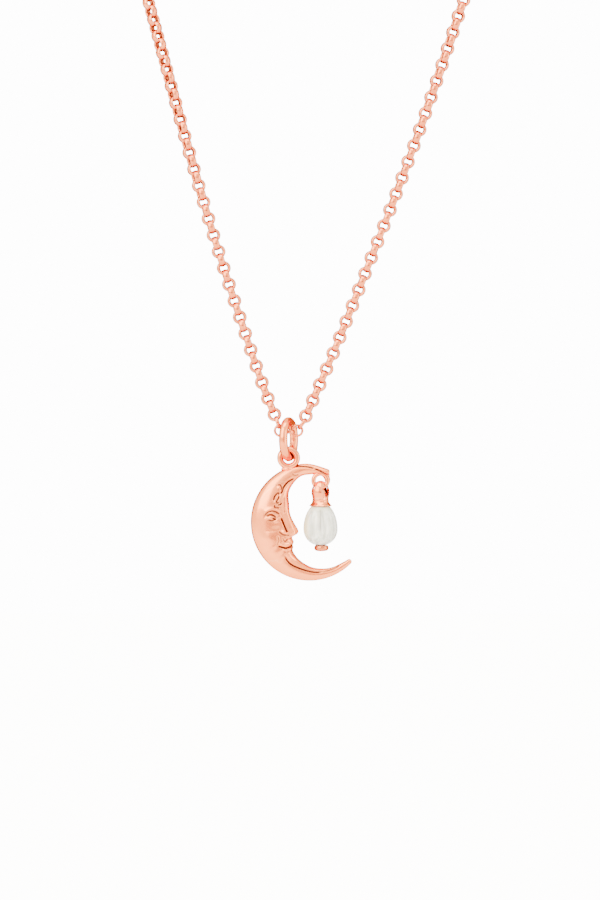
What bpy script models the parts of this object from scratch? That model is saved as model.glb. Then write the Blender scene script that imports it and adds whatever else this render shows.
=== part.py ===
"""Crescent moon pendant on a belcher chain, with a drop pearl in the moon's bay.

Metres, +X to the wearer's left as seen from the front, +Y to the back, +Z up. The origin is at the
nape, in the middle of the clasp. The pendant hangs below it and in front of it.
"""

import math

import bmesh
import bpy
from mathutils import Matrix, Vector

MM = 0.001

# Where the pendant hangs from the nape, and the running clearances
PENDANT_X = -2.9 * MM
PENDANT_Y = -21.0 * MM
PENDANT_Z = -188.0 * MM
LINK_PLAY = 0.05 * MM
BAIL_PLAY = 0.28 * MM
JOIN_GAP = 0.05 * MM
TUBE_GAP = 0.3 * MM

# Chain: round links of rounded flat wire
LINK_OUTER = 2.4 * MM
LINK_THICK = 0.40 * MM
LINK_WIDTH = 0.80 * MM
LINK_LAP = 0.66  # share of a link's width that bears in the next link's hole
LINK_LIFT = math.radians(9.3)
OUTER_LEFT_RISE = math.radians(107.5)
OUTER_RIGHT_RISE = math.radians(51.7)
TUBE_DIAMETER = 2.4 * MM
TUBE_STEP = 5.0 * MM

# Bail: a heavy oval ring turned a little out of the side view
BAIL_HEIGHT = 8.0 * MM
BAIL_WIDTH = 7.0 * MM
BAIL_WIRE = 1.55 * MM
BAIL_TOP_WIRE = 1.685 * MM
BAIL_TURN = math.radians(20.6)

# Moon. Its outline is drawn in millimetres for DRAWN_RADIUS, and grown from the foot of its eye ring
MOON_RADIUS = 10.69 * MM
MOON_THICK = 2.9 * MM
MOON_BACK = 1.0 * MM
MOON_EYE_SINK = 0.342 * MM
DRAWN_RADIUS = 10.69
DRAWN_CENTRE = (3.80, -16.59)
DRAWN_BAY_CENTRE = (6.07, -16.41)
DRAWN_FOOT = -6.598
DRAWN_FULL_WIDTH = 7.0
DRAWN_HORN_TUCK = 0.74
DRAWN_STEP = 0.62
HORN_TUCK_FROM = math.radians(84)
HORN_TUCK_TO = math.radians(110)
MOON_EYE_OUTER = 4.0 * MM
MOON_EYE_WIRE = 1.0 * MM

# Horn ring and drop
HORN_RING_OUTER = 3.28 * MM
HORN_RING_WIRE = 0.73 * MM
DRAWN_HORN_RING = (5.8, -9.05)
DROP_TURN = math.radians(26)
DROP_BAIL_HEIGHT = 3.45 * MM
DROP_BAIL_WIDTH = 3.3 * MM
DROP_BAIL_DEPTH = 3.0 * MM
DROP_BAIL_TOP = 0.85 * MM
DROP_BAIL_FLOOR = 0.45 * MM
DROP_HOLE_WIDTH = 1.6 * MM
CAP_HEIGHT = 1.12 * MM
CAP_WAIST_SHARE = 0.524  # shares of the pearl's diameter
CAP_RIM_SHARE = 0.619
CAP_WALL = 0.22 * MM
CAP_FLOOR = 0.35 * MM
PEARL_DIAMETER = 6.3 * MM
PEARL_HEIGHT = 7.75 * MM
PEARL_SHOULDER = 0.62  # share of the height above the widest place
PEARL_BORE = 1.0 * MM
PIN_DIAMETER = 0.8 * MM
BEAD_DIAMETER = 2.55 * MM
BEAD_HEIGHT = 1.0 * MM

# Clasp: a bolt ring, its spring bolt and the ring it hooks
CLASP_X = 1.35 * MM
CLASP_RADIUS = 2.3 * MM
CLASP_TUBE = 1.4 * MM
CLASP_BORE = 0.94 * MM
CLASP_EYE_OUTER = 2.4 * MM
CLASP_EYE_WIRE = 0.6 * MM
CLASP_EYE_SINK = 0.3 * MM
BOLT_DIAMETER = 0.84 * MM
BOLT_TRAVEL = math.radians(48)
GAP_FROM = math.radians(40)
GAP_TO = math.radians(80)
BOLT_TIP = math.radians(34)
BOLT_TAIL = math.radians(150)
THUMB_AT = math.radians(106)
THUMB_WIDE = math.radians(9)
THUMB_HEIGHT = 0.75 * MM
THUMB_THICK = 0.40 * MM
SPRING_STOP = math.radians(260)
SPRING_WIRE = 0.14 * MM
SPRING_COIL = 0.76 * MM
SPRING_TURNS = 9
JUMP_RING_OUTER = 3.2 * MM
JUMP_RING_WIRE = 0.6 * MM
END_RING_OUTER = 3.6 * MM
END_RING_WIRE = 0.7 * MM

# Routes of the two chain legs from the pendant up to the nape: sideways, back and up, in millimetres
LEFT_ROUTE = [
    (-4.5, 0.0, 7.8), (-7.5, 0.0, 16.5), (-11.8, 0.0, 29.6), (-15.8, 0.0, 42.7), (-19.5, 0.0, 55.8),
    (-23.0, 0.0, 68.9), (-26.6, 0.5, 82.0), (-31.0, 2.2, 97.0), (-36.0, 5.1, 113.0), (-39.8, 8.5, 130.0),
    (-40.4, 12.0, 147.0), (-37.2, 15.4, 162.0), (-30.4, 18.2, 174.4), (-21.5, 20.0, 182.6),
    (-13.0, 20.8, 186.8),
]
RIGHT_ROUTE = [
    (5.4, 0.0, 7.8), (9.1, 0.0, 16.5), (14.3, 0.0, 29.6), (19.4, 0.0, 42.7), (24.2, 0.0, 55.8),
    (28.7, 0.0, 68.9), (33.0, 0.5, 82.0), (37.8, 2.2, 97.0), (42.4, 5.1, 113.0), (45.7, 8.5, 130.0),
    (46.2, 12.0, 147.0), (43.0, 15.4, 162.0), (36.2, 18.2, 174.4), (27.3, 20.0, 182.6),
    (18.8, 20.8, 186.8),
]

# The moon's inner edge from the upper horn, down the face in profile, to the lower tip, in millimetres
INNER_EDGE = [
    (7.0, -8.0), (5.7, -7.9), (4.1, -7.95), (2.6, -8.17), (1.7, -8.7), (0.8, -9.7), (0.2, -10.8),
    (0.0, -11.8), (0.12, -13.2), (0.22, -14.7), (0.58, -15.9), (1.22, -17.1), (1.78, -18.15), (1.55, -18.75),
    (0.82, -19.15), (0.68, -19.55), (0.96, -20.16), (0.78, -20.75), (0.86, -21.2), (0.74, -21.65),
    (0.95, -22.2), (1.7, -23.2), (2.9, -24.15), (4.4, -24.85), (6.25, -25.05), (8.0, -24.78),
    (9.5, -24.1), (10.7, -23.45),
]
LOWER_TIP = (11.0, -23.72)

# Across the moon from the outer edge to the inner: share of the width, share of the thickness.
# The last number is how far the crease line pulls that place inwards along the two horns.
MOON_SECTION = [
    (0.00, 0.42, 0.0), (0.03, 0.62, 0.0), (0.10, 0.82, 0.0), (0.24, 0.95, 0.0), (0.44, 1.00, 0.0),
    (0.62, 0.97, 0.0), (0.74, 0.91, 0.02), (0.80, 0.86, 0.12), (0.87, 0.84, 0.0), (0.95, 0.72, 0.0),
    (1.00, 0.50, 0.0),
]


def at(across, up, back=0.0):
    """A place given from the pendant's hanging point, in world coordinates."""
    return Vector((PENDANT_X + across, PENDANT_Y + back, PENDANT_Z + up))


def clear_scene():
    for obj in list(bpy.data.objects):
        bpy.data.objects.remove(obj, do_unlink=True)


def finish(name, colour, roughness, metallic):
    material = bpy.data.materials.new(name)
    material.use_nodes = True
    shader = material.node_tree.nodes["Principled BSDF"]
    shader.inputs["Base Color"].default_value = (*colour, 1.0)
    shader.inputs["Roughness"].default_value = roughness
    shader.inputs["Metallic"].default_value = metallic
    return material


def rose_gold(name):
    return finish(f"{name}_rose_gold", (0.93, 0.62, 0.50), 0.14, 1.0)


def pivot(name, place, parent=None):
    """An empty on a joint's axis. Its children are placed from it."""
    empty = bpy.data.objects.new(name, None)
    empty.empty_display_size = 2 * MM
    empty["place"] = tuple(place)
    empty.location = place - Vector(parent["place"]) if parent else place
    empty.parent = parent
    bpy.context.collection.objects.link(empty)
    return empty


def body(name, mesh_builder, holder, material=None):
    """Makes a named object from a bmesh in world coordinates, and hangs it on its pivot."""
    bmesh.ops.recalc_face_normals(mesh_builder, faces=mesh_builder.faces)
    origin = Vector(holder["place"])
    bmesh.ops.translate(mesh_builder, verts=mesh_builder.verts, vec=-origin)
    mesh = bpy.data.meshes.new(name)
    mesh_builder.to_mesh(mesh)
    mesh_builder.free()
    mesh.shade_smooth()
    mesh.set_sharp_from_angle(angle=math.radians(40))
    mesh.materials.append(material or rose_gold(name))
    obj = bpy.data.objects.new(name, mesh)
    obj.parent = holder
    bpy.context.collection.objects.link(obj)
    return obj


def cutter(name, mesh_builder, holder):
    obj = body(name, mesh_builder, holder)
    obj.hide_render = True
    obj.display_type = "WIRE"
    return obj


def cut(obj, tool, operation="DIFFERENCE"):
    modifier = obj.modifiers.new(tool.name, "BOOLEAN")
    modifier.operation = operation
    modifier.object = tool
    modifier.solver = "EXACT"


def oval(half_a, half_b, sides):
    turns = [math.tau * i / sides for i in range(sides)]
    return [(half_a * math.cos(turn), half_b * math.sin(turn)) for turn in turns]


def sweep(frames, section, closed):
    """Carries a closed section along frames of (place, first direction, second direction)."""
    bm = bmesh.new()
    rings = []
    for place, first, second in frames:
        rings.append([bm.verts.new(place + first * a + second * b) for a, b in section])
    count = len(section)
    pairs = list(zip(rings, rings[1:]))
    if closed:
        pairs.append((rings[-1], rings[0]))
    else:
        bm.faces.new(rings[0])
        bm.faces.new(rings[-1])
    for near, far in pairs:
        for i in range(count):
            j = (i + 1) % count
            bm.faces.new((near[i], near[j], far[j], far[i]))
    return bm


def arc_frames(centre, right, up, half_right, half_up, start, end, steps, closed=False):
    """Frames along an oval arc. The first direction points outwards, the second across the arc's plane."""
    axis = right.cross(up)
    frames = []
    for i in range(steps if closed else steps + 1):
        turn = start + (end - start) * i / steps
        place = centre + right * (half_right * math.cos(turn)) + up * (half_up * math.sin(turn))
        outwards = right * (half_up * math.cos(turn)) + up * (half_right * math.sin(turn))
        frames.append((place, outwards.normalized(), axis))
    return frames


def ring(centre, right, up, outer, thick, width, steps, sides, outer_up=None):
    """A closed round or oval ring. Its section is thick along the radius and wide along the axis."""
    half_right = (outer - thick) / 2
    half_up = ((outer_up or outer) - thick) / 2
    frames = arc_frames(centre, right, up, half_right, half_up, 0, math.tau, steps, closed=True)
    return sweep(frames, oval(thick / 2, width / 2, sides), closed=True)


def turned(profile, centre, steps):
    """A body turned about a vertical axis. Profile points are (radius, height), closed into a loop."""
    frames = []
    for i in range(steps):
        turn = math.tau * i / steps
        frames.append((centre, Vector((math.cos(turn), math.sin(turn), 0)), Vector((0, 0, 1))))
    return sweep(frames, profile, closed=True)


def turned_solid(profile, centre, steps):
    """As turned, for a profile whose two ends lie on the axis."""
    bm = bmesh.new()
    rings = []
    for radius, height in profile:
        sides = steps if radius else 1
        row = []
        for i in range(sides):
            turn = math.tau * i / steps
            outwards = Vector((math.cos(turn), math.sin(turn), 0)) * radius
            row.append(bm.verts.new(centre + outwards + Z * height))
        rings.append(row)
    for near, far in zip(rings, rings[1:]):
        for i in range(steps):
            j = (i + 1) % steps
            corners = [near[i % len(near)], near[j % len(near)], far[j % len(far)], far[i % len(far)]]
            bm.faces.new(list(dict.fromkeys(corners)))
    return bm


def cut_flat(bm, point, normal):
    """Removes what lies on the normal's side of a plane, and closes the cut."""
    geometry = list(bm.verts) + list(bm.edges) + list(bm.faces)
    done = bmesh.ops.bisect_plane(bm, geom=geometry, plane_co=point, plane_no=normal, clear_outer=True)
    edges = [e for e in done["geom_cut"] if isinstance(e, bmesh.types.BMEdge)]
    bmesh.ops.edgeloop_fill(bm, edges=edges)
    return bm


X = Vector((1, 0, 0))
Y = Vector((0, 1, 0))
Z = Vector((0, 0, 1))

# Places that follow from the sizes above, from the pendant's hanging point
BAIL_MIDDLE = BAIL_TOP_WIRE - (BAIL_HEIGHT - BAIL_WIRE) / 2
BAIL_BOTTOM_WIRE = BAIL_MIDDLE - (BAIL_HEIGHT - BAIL_WIRE) / 2
LINK_HOLE = LINK_OUTER / 2 - LINK_THICK
LINK_PITCH = LINK_HOLE + math.sqrt(LINK_HOLE**2 - (LINK_LAP * LINK_WIDTH / 2) ** 2)
LINK_BESIDE = LINK_PITCH * math.cos(LINK_LIFT)
SADDLE_REACH = (BAIL_WIRE + LINK_OUTER) / 2 + BAIL_PLAY
SADDLE_DROP = math.sqrt(SADDLE_REACH**2 - LINK_BESIDE**2)
CENTRE_LINK_UP = BAIL_TOP_WIRE - SADDLE_DROP - LINK_PITCH * math.sin(LINK_LIFT)
MOON_EYE_UP = BAIL_BOTTOM_WIRE + BAIL_WIRE / 2 + LINK_PLAY + MOON_EYE_WIRE - MOON_EYE_OUTER / 2
MOON_FOOT_UP = MOON_EYE_UP - MOON_EYE_OUTER / 2 + MOON_EYE_SINK
MOON_SCALE = MOON_RADIUS / DRAWN_RADIUS


def moon_place(across, up):
    """A place of the moon's drawing as (sideways, up) from the pendant's hanging point."""
    return across * MOON_SCALE, MOON_FOOT_UP + (up - DRAWN_FOOT) * MOON_SCALE


MOON_CENTRE = moon_place(*DRAWN_CENTRE)
BAY_CENTRE = moon_place(*DRAWN_BAY_CENTRE)
DROP_X, HORN_RING_UP = moon_place(*DRAWN_HORN_RING)
HORN_RING_LINE = (HORN_RING_OUTER - HORN_RING_WIRE) / 2
DROP_HINGE_UP = HORN_RING_UP - HORN_RING_LINE
DROP_BAIL_UP = DROP_HINGE_UP + HORN_RING_WIRE / 2 + LINK_PLAY + DROP_BAIL_TOP
CAP_UP = DROP_BAIL_UP - DROP_BAIL_HEIGHT - JOIN_GAP
CAP_RIM_UP = CAP_UP - CAP_HEIGHT
PEARL_TOP = CAP_UP - CAP_FLOOR - JOIN_GAP
BEAD_TOP = PEARL_TOP - PEARL_HEIGHT - JOIN_GAP
BAIL_ACROSS = Vector((math.sin(BAIL_TURN), math.cos(BAIL_TURN), 0))
HOLE_ALONG = Vector((math.cos(DROP_TURN), -math.sin(DROP_TURN), 0))
HOLE_ACROSS = Vector((math.sin(DROP_TURN), math.cos(DROP_TURN), 0))
CLASP_CENTRE = Vector((CLASP_X, 0, 0))


def link_step(turn):
    """From one link's centre to the next, at this turn from the right-hand side."""
    return Vector((math.cos(turn), 0, math.sin(turn))) * LINK_PITCH


def link_places():
    """Centres of the five links at the bottom of the V, left to right. The bail rests over the middle one."""
    centre = Vector((0, 0, CENTRE_LINK_UP))
    inner_left = centre + link_step(math.pi - LINK_LIFT)
    inner_right = centre + link_step(LINK_LIFT)
    outer_left = inner_left + link_step(OUTER_LEFT_RISE)
    outer_right = inner_right + link_step(OUTER_RIGHT_RISE)
    return [outer_left, inner_left, centre, inner_right, outer_right]


def chain_links(chain):
    """Real links, edge-on and face-on by turns."""
    places = link_places()
    runs = [places[0] - places[1], places[0] - places[2], X, places[4] - places[2], places[4] - places[3]]
    for i, (place, run) in enumerate(zip(places, runs)):
        run = run.normalized()
        beside = run.cross(Y) if i % 2 else Y
        bm = ring(at(place.x, place.z), run, beside, LINK_OUTER, LINK_THICK, LINK_WIDTH, 24, 8)
        body(f"chain_link_{i + 1}", bm, chain)


def smooth_points(route, step):
    """Evenly spaced points on a Catmull-Rom curve through the route."""
    ends = [route[0] * 2 - route[1], *route, route[-1] * 2 - route[-2]]
    fine = [route[0]]
    for a, b, c, d in zip(ends, ends[1:], ends[2:], ends[3:]):
        for i in range(1, 41):
            t = i / 40
            bend = (2 * a - 5 * b + 4 * c - d) * t * t + (3 * b - a - 3 * c + d) * t * t * t
            fine.append(b + ((c - a) * t + bend) / 2)
    lengths = [0.0]
    for near, far in zip(fine, fine[1:]):
        lengths.append(lengths[-1] + (far - near).length)
    count = max(2, round(lengths[-1] / step))
    points = []
    place = 0
    for i in range(count + 1):
        wanted = lengths[-1] * i / count
        while place < len(fine) - 2 and lengths[place + 1] < wanted:
            place += 1
        share = (wanted - lengths[place]) / (lengths[place + 1] - lengths[place])
        points.append(fine[place].lerp(fine[place + 1], share))
    return points


def chain_tube(name, start, route, end, holder):
    """A leg of the chain as a plain tube. Real links meet it at both ends."""
    points = smooth_points([start, *(at(a * MM, c * MM, b * MM) for a, b, c in route), end], TUBE_STEP)
    curve = bpy.data.curves.new(name, "CURVE")
    curve.dimensions = "3D"
    curve.bevel_depth = TUBE_DIAMETER / 2
    curve.bevel_resolution = 2
    curve.use_fill_caps = True
    spline = curve.splines.new("POLY")
    spline.points.add(len(points) - 1)
    origin = Vector(holder["place"])
    for slot, point in zip(spline.points, points):
        slot.co = (*(point - origin), 1)
    curve.materials.append(rose_gold(name))
    obj = bpy.data.objects.new(name, curve)
    obj.parent = holder
    bpy.context.collection.objects.link(obj)


def bail_ring(holder):
    bm = ring(
        at(0, BAIL_MIDDLE), BAIL_ACROSS, Z, BAIL_WIDTH, BAIL_WIRE, BAIL_WIRE, 36, 10, outer_up=BAIL_HEIGHT
    )
    body("bail_ring", bm, holder)


def rim_distance(turn):
    """How far the moon's outer edge is from the bay's centre, at this turn from the right-hand side."""
    along = Vector((math.cos(turn), math.sin(turn)))
    apart = Vector(BAY_CENTRE) - Vector(MOON_CENTRE)
    lean = apart.dot(along)
    reach = -lean + math.sqrt(lean * lean - apart.length_squared + MOON_RADIUS**2)
    share = min(1.0, max(0.0, (HORN_TUCK_TO - turn) / (HORN_TUCK_TO - HORN_TUCK_FROM)))
    return reach - DRAWN_HORN_TUCK * MOON_SCALE * share * share * (3 - 2 * share)


def moon_stations():
    """Pairs of (outer, inner) edge points along the crescent, from the upper horn to the lower tip."""
    middle = Vector((*BAY_CENTRE, 0)).xzy
    route = [Vector((across, 0, up)) for across, up in (moon_place(*point) for point in INNER_EDGE)]
    points = smooth_points(route, DRAWN_STEP * MOON_SCALE)
    stations = []
    last = 0.0
    for point in points:
        across = point.x - BAY_CENTRE[0]
        up = point.z - BAY_CENTRE[1]
        turn = max(math.atan2(up, across) % math.tau, last + math.radians(0.3))
        last = turn
        reach = rim_distance(turn)
        outer = Vector((middle.x + reach * math.cos(turn), 0, middle.z + reach * math.sin(turn)))
        stations.append((outer, point, turn))
    return stations


def crease_share(turn):
    """1 along the two horns, falling to 0 where the face is."""
    degrees = math.degrees(turn)
    upper = min(1.0, max(0.0, (150 - degrees) / 25))
    lower = min(1.0, max(0.0, (degrees - 222) / 15))
    return max(upper, lower)


def moon_body(holder):
    bm = bmesh.new()
    rings = []
    for outer, inner, turn in moon_stations():
        width = (outer - inner).length
        thick = MOON_THICK * min(1.0, width / (DRAWN_FULL_WIDTH * MOON_SCALE)) ** 0.5
        crease = crease_share(turn)
        points = [(0.0, 0.0)]
        points += [(t, h - pull * crease) for t, h, pull in MOON_SECTION]
        points += [(1.0, 0.0)]
        row = []
        for share, height in points:
            place = outer.lerp(inner, share)
            row.append(bm.verts.new(at(place.x, place.z, MOON_BACK - thick * height)))
        rings.append(row)
    count = len(rings[0])
    for near, far in zip(rings, rings[1:]):
        for i in range(count):
            j = (i + 1) % count
            bm.faces.new((near[i], near[j], far[j], far[i]))
    bm.faces.new(rings[0])
    tip = bm.verts.new(at(*moon_place(*LOWER_TIP), MOON_BACK - 0.25 * MM))
    for i in range(count):
        bm.faces.new((rings[-1][i], rings[-1][(i + 1) % count], tip))
    body("moon_body", bm, holder)


def moon_eye(holder):
    """The ring on top of the moon. Its foot is filed flat where it meets the moon's edge."""
    bm = ring(at(0, MOON_EYE_UP), X, Z, MOON_EYE_OUTER, MOON_EYE_WIRE, MOON_EYE_WIRE, 32, 10)
    across = -MOON_CENTRE[0]
    up = math.sqrt(MOON_RADIUS**2 - across**2)
    outwards = Vector((across, 0, up)).normalized()
    seat = at(0, MOON_CENTRE[1] + up) + outwards * JOIN_GAP
    body("moon_eye", cut_flat(bm, seat, -outwards), holder)


def horn_ring(holder):
    """The ring under the upper horn. Both its ends are cut flat where they meet the horn."""
    bm = ring(at(DROP_X, HORN_RING_UP), X, Z, HORN_RING_OUTER, HORN_RING_WIRE, HORN_RING_WIRE, 28, 8)
    edge = [moon_place(*point) for point in INNER_EDGE[:4]]
    lowest = min(up for across, up in edge if abs(across - DROP_X) < HORN_RING_OUTER / 2 + 0.2 * MM)
    body("horn_ring", cut_flat(bm, at(DROP_X, lowest - JOIN_GAP), Z), holder)


def drop_bail(holder):
    """The tulip-shaped loop that hangs on the horn ring, with a turned hole through it."""
    top = DROP_BAIL_UP
    steps = [
        (0.0, 0.20, 0.16), (0.05, 0.34, 0.30), (0.16, 0.50, 0.38), (0.30, 0.68, 0.48),
        (0.48, 0.88, 0.66), (0.66, 0.98, 0.84), (0.84, 1.00, 0.98), (1.0, 0.98, 1.0),
    ]
    frames = []
    bm = bmesh.new()
    for share, wide, deep in steps:
        height = top - share * DROP_BAIL_HEIGHT
        section = oval(deep * DROP_BAIL_DEPTH / 2, wide * DROP_BAIL_WIDTH / 2, 24)
        centre = at(DROP_X, height)
        frames.append([bm.verts.new(centre + HOLE_ALONG * a + HOLE_ACROSS * b) for a, b in section])
    for near, far in zip(frames, frames[1:]):
        for i in range(24):
            j = (i + 1) % 24
            bm.faces.new((near[i], near[j], far[j], far[i]))
    bm.faces.new(frames[0])
    bm.faces.new(frames[-1])
    obj = body("drop_bail", bm, holder)
    cut(obj, hole_cutter(holder))
    cut(obj, wire_cutter(holder))


def hole_cutter(holder):
    """A tear-shaped bar through the loop, narrow at the top."""
    top = DROP_HINGE_UP
    bottom = DROP_BAIL_UP - DROP_BAIL_HEIGHT + DROP_BAIL_FLOOR
    half = DROP_HOLE_WIDTH / 2
    outline = [
        (0.45 * half, top), (-0.45 * half, top), (-0.85 * half, top - 0.5 * MM), (-half, top - 1.0 * MM),
        (-0.75 * half, bottom + 0.25 * MM), (0.0, bottom), (0.75 * half, bottom + 0.25 * MM),
        (half, top - 1.0 * MM), (0.85 * half, top - 0.5 * MM),
    ]
    reach = DROP_BAIL_DEPTH
    frames = []
    for side in (-reach, reach):
        frames.append((at(DROP_X, 0) + HOLE_ALONG * side, HOLE_ACROSS, Z))
    return cutter("drop_hole_cutter", sweep(frames, outline, closed=False), holder)


def wire_cutter(holder):
    """The room that the horn ring's wire sweeps in the loop as the drop swings: a flared round hole."""
    profile = []
    reach = 0.92 * HORN_RING_LINE
    for i in range(13):
        along = -reach + 2 * reach * i / 12
        rise = HORN_RING_LINE - math.sqrt(HORN_RING_LINE**2 - along**2)
        profile.append((HORN_RING_WIRE / 2 + LINK_PLAY + rise, along))
    profile = [(0, -reach), *profile, (0, reach)]
    bm = turned_solid(profile, Vector((0, 0, 0)), 20)
    lay = Matrix.Rotation(math.radians(90), 4, "Y")
    bmesh.ops.transform(bm, matrix=Matrix.Translation(at(DROP_X, DROP_HINGE_UP)) @ lay, verts=bm.verts)
    return cutter("drop_wire_cutter", bm, holder)


def pearl_profile(share):
    """The drop pearl's outline: radius and height below its top, from the top, 0, to the bottom, 1."""
    shoulder = PEARL_HEIGHT * PEARL_SHOULDER
    turn = math.pi * share
    height = math.cos(turn)
    long = shoulder if height > 0 else PEARL_HEIGHT - shoulder
    swell = 1.0 if height > 0 else 0.9
    return PEARL_DIAMETER / 2 * math.sin(turn) ** swell, shoulder - height * long


def pearl(holder):
    """A drop pearl drilled right through."""
    radius = PEARL_BORE / 2
    outline = [pearl_profile(i / 24) for i in range(1, 24)]
    outline = [(r, -depth) for r, depth in outline if r > radius + 0.08 * MM]
    profile = [(radius, outline[0][1]), *outline, (radius, outline[-1][1])]
    bm = turned(profile, at(DROP_X, PEARL_TOP), 28)
    body("pearl", bm, holder, finish("pearl_white", (0.90, 0.89, 0.85), 0.25, 0.0))


def pearl_cap(holder):
    """A cup with a flared rim that sits over the pearl's top."""
    waist = CAP_WAIST_SHARE * PEARL_DIAMETER / 2
    rim = CAP_RIM_SHARE * PEARL_DIAMETER / 2
    hole = PIN_DIAMETER / 2 + JOIN_GAP
    seat = PEARL_TOP - CAP_RIM_UP
    inner = []
    for i in range(1, 24):
        radius, depth = pearl_profile(i / 24)
        if depth < seat and radius > hole + 0.1 * MM:
            inner.append((radius + JOIN_GAP * 1.6, -CAP_FLOOR - depth))
    outside = [(hole, 0), (waist, 0)]
    outside += [(waist - 0.04 * MM, -0.35 * CAP_HEIGHT), (waist + 0.05 * MM, -0.6 * CAP_HEIGHT)]
    edge = [(rim, -0.96 * CAP_HEIGHT), (rim - 0.05 * MM, -CAP_HEIGHT)]
    mouth = (rim - CAP_WALL, -CAP_HEIGHT)
    inner = [p for p in inner if p[0] < mouth[0] - 0.05 * MM]
    profile = [*outside, *edge, mouth, *reversed(inner), (hole, -CAP_FLOOR)]
    body("pearl_cap", turned(profile, at(DROP_X, CAP_UP), 28), holder)


def head_pin(holder):
    """The wire through the pearl, with the round bead that keeps the pearl on."""
    radius = PIN_DIAMETER / 2
    length = CAP_UP - JOIN_GAP - BEAD_TOP
    bead = [(0, -length - BEAD_HEIGHT)]
    for i in range(1, 8):
        turn = math.pi * i / 8
        depth = length + BEAD_HEIGHT * (1 + math.cos(turn)) / 2
        bead.append((BEAD_DIAMETER / 2 * math.sin(turn) ** 0.7, -depth))
    profile = [(0, 0), (radius, 0), (radius, -length - 0.02 * MM), *reversed(bead[1:]), bead[0]]
    profile = [p for i, p in enumerate(profile) if not (i > 2 and p[1] > -length - 0.03 * MM)]
    body("head_pin", turned_solid(profile, at(DROP_X, CAP_UP - JOIN_GAP), 20), holder)


def clasp_arc(start, end, section, steps, holder, name, make):
    frames = arc_frames(CLASP_CENTRE, X, Z, CLASP_RADIUS, CLASP_RADIUS, start, end, steps)
    return make(name, sweep(frames, section, closed=False), holder)


def clasp_body(holder):
    """A tube bent into a ring, open at the mouth, with a slot for the thumb piece and an eye at the back."""
    tube = oval(CLASP_TUBE / 2, CLASP_TUBE / 2, 12)
    bore = oval(CLASP_BORE / 2, CLASP_BORE / 2, 10)
    obj = clasp_arc(GAP_TO, math.tau + GAP_FROM, tube, 32, holder, "clasp_body", body)
    past = math.radians(8)
    socket = math.radians(10)
    half_slot = THUMB_THICK / 2 + JOIN_GAP
    slot = [(0, -half_slot), (CLASP_TUBE, -half_slot), (CLASP_TUBE, half_slot), (0, half_slot)]
    slot_from = THUMB_AT - THUMB_WIDE / 2 - math.radians(2)
    slot_to = THUMB_AT + BOLT_TRAVEL + THUMB_WIDE / 2 + math.radians(2)
    cut(obj, clasp_arc(GAP_TO - past, SPRING_STOP, bore, 22, holder, "clasp_bore_cutter", cutter))
    cut(obj, clasp_arc(GAP_FROM - socket, GAP_FROM + past, bore, 4, holder, "clasp_socket_cutter", cutter))
    cut(obj, clasp_arc(slot_from, slot_to, slot, 10, holder, "clasp_slot_cutter", cutter))
    eye = ring(clasp_eye_place(), X, Z, CLASP_EYE_OUTER, CLASP_EYE_WIRE, CLASP_EYE_WIRE, 20, 8)
    cut(obj, cutter("clasp_eye_join", eye, holder), "UNION")


def clasp_eye_place():
    return CLASP_CENTRE - X * (CLASP_RADIUS + CLASP_TUBE / 2 + CLASP_EYE_OUTER / 2 - CLASP_EYE_SINK)


def clasp_bolt(holder):
    """The bent bolt that closes the mouth, with the thumb piece that stands out of the slot."""
    section = oval(BOLT_DIAMETER / 2, BOLT_DIAMETER / 2, 10)
    obj = clasp_arc(BOLT_TIP, BOLT_TAIL, section, 18, holder, "clasp_bolt", body)
    half = THUMB_THICK / 2
    height = CLASP_TUBE / 2 + THUMB_HEIGHT
    thumb = [(0, -half), (height, -half), (height, half), (0, half)]
    tab = clasp_arc(
        THUMB_AT - THUMB_WIDE / 2, THUMB_AT + THUMB_WIDE / 2, thumb, 2, holder, "clasp_thumb_join", cutter
    )
    cut(obj, tab, "UNION")


def clasp_spring(holder):
    """The coil spring behind the bolt, bent along the ring."""
    start = BOLT_TAIL + math.radians(3)
    end = SPRING_STOP - math.radians(3)
    coil = (SPRING_COIL - SPRING_WIRE) / 2
    steps = SPRING_TURNS * 9
    line = []
    for i in range(steps + 1):
        turn = start + (end - start) * i / steps
        wind = math.tau * SPRING_TURNS * i / steps
        outwards = X * math.cos(turn) + Z * math.sin(turn)
        reach = CLASP_RADIUS + coil * math.cos(wind)
        line.append(CLASP_CENTRE + outwards * reach + Y * (coil * math.sin(wind)))
    frames = []
    for i, place in enumerate(line):
        along = (line[min(i + 1, steps)] - line[max(i - 1, 0)]).normalized()
        turn = start + (end - start) * i / steps
        centre = CLASP_CENTRE + (X * math.cos(turn) + Z * math.sin(turn)) * CLASP_RADIUS
        out = (place - centre).normalized()
        side = along.cross(out).normalized()
        frames.append((place, side.cross(along), side))
    bm = sweep(frames, oval(SPRING_WIRE / 2, SPRING_WIRE / 2, 5), closed=False)
    body("clasp_spring", bm, holder, finish("spring_steel", (0.62, 0.62, 0.64), 0.3, 1.0))


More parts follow.
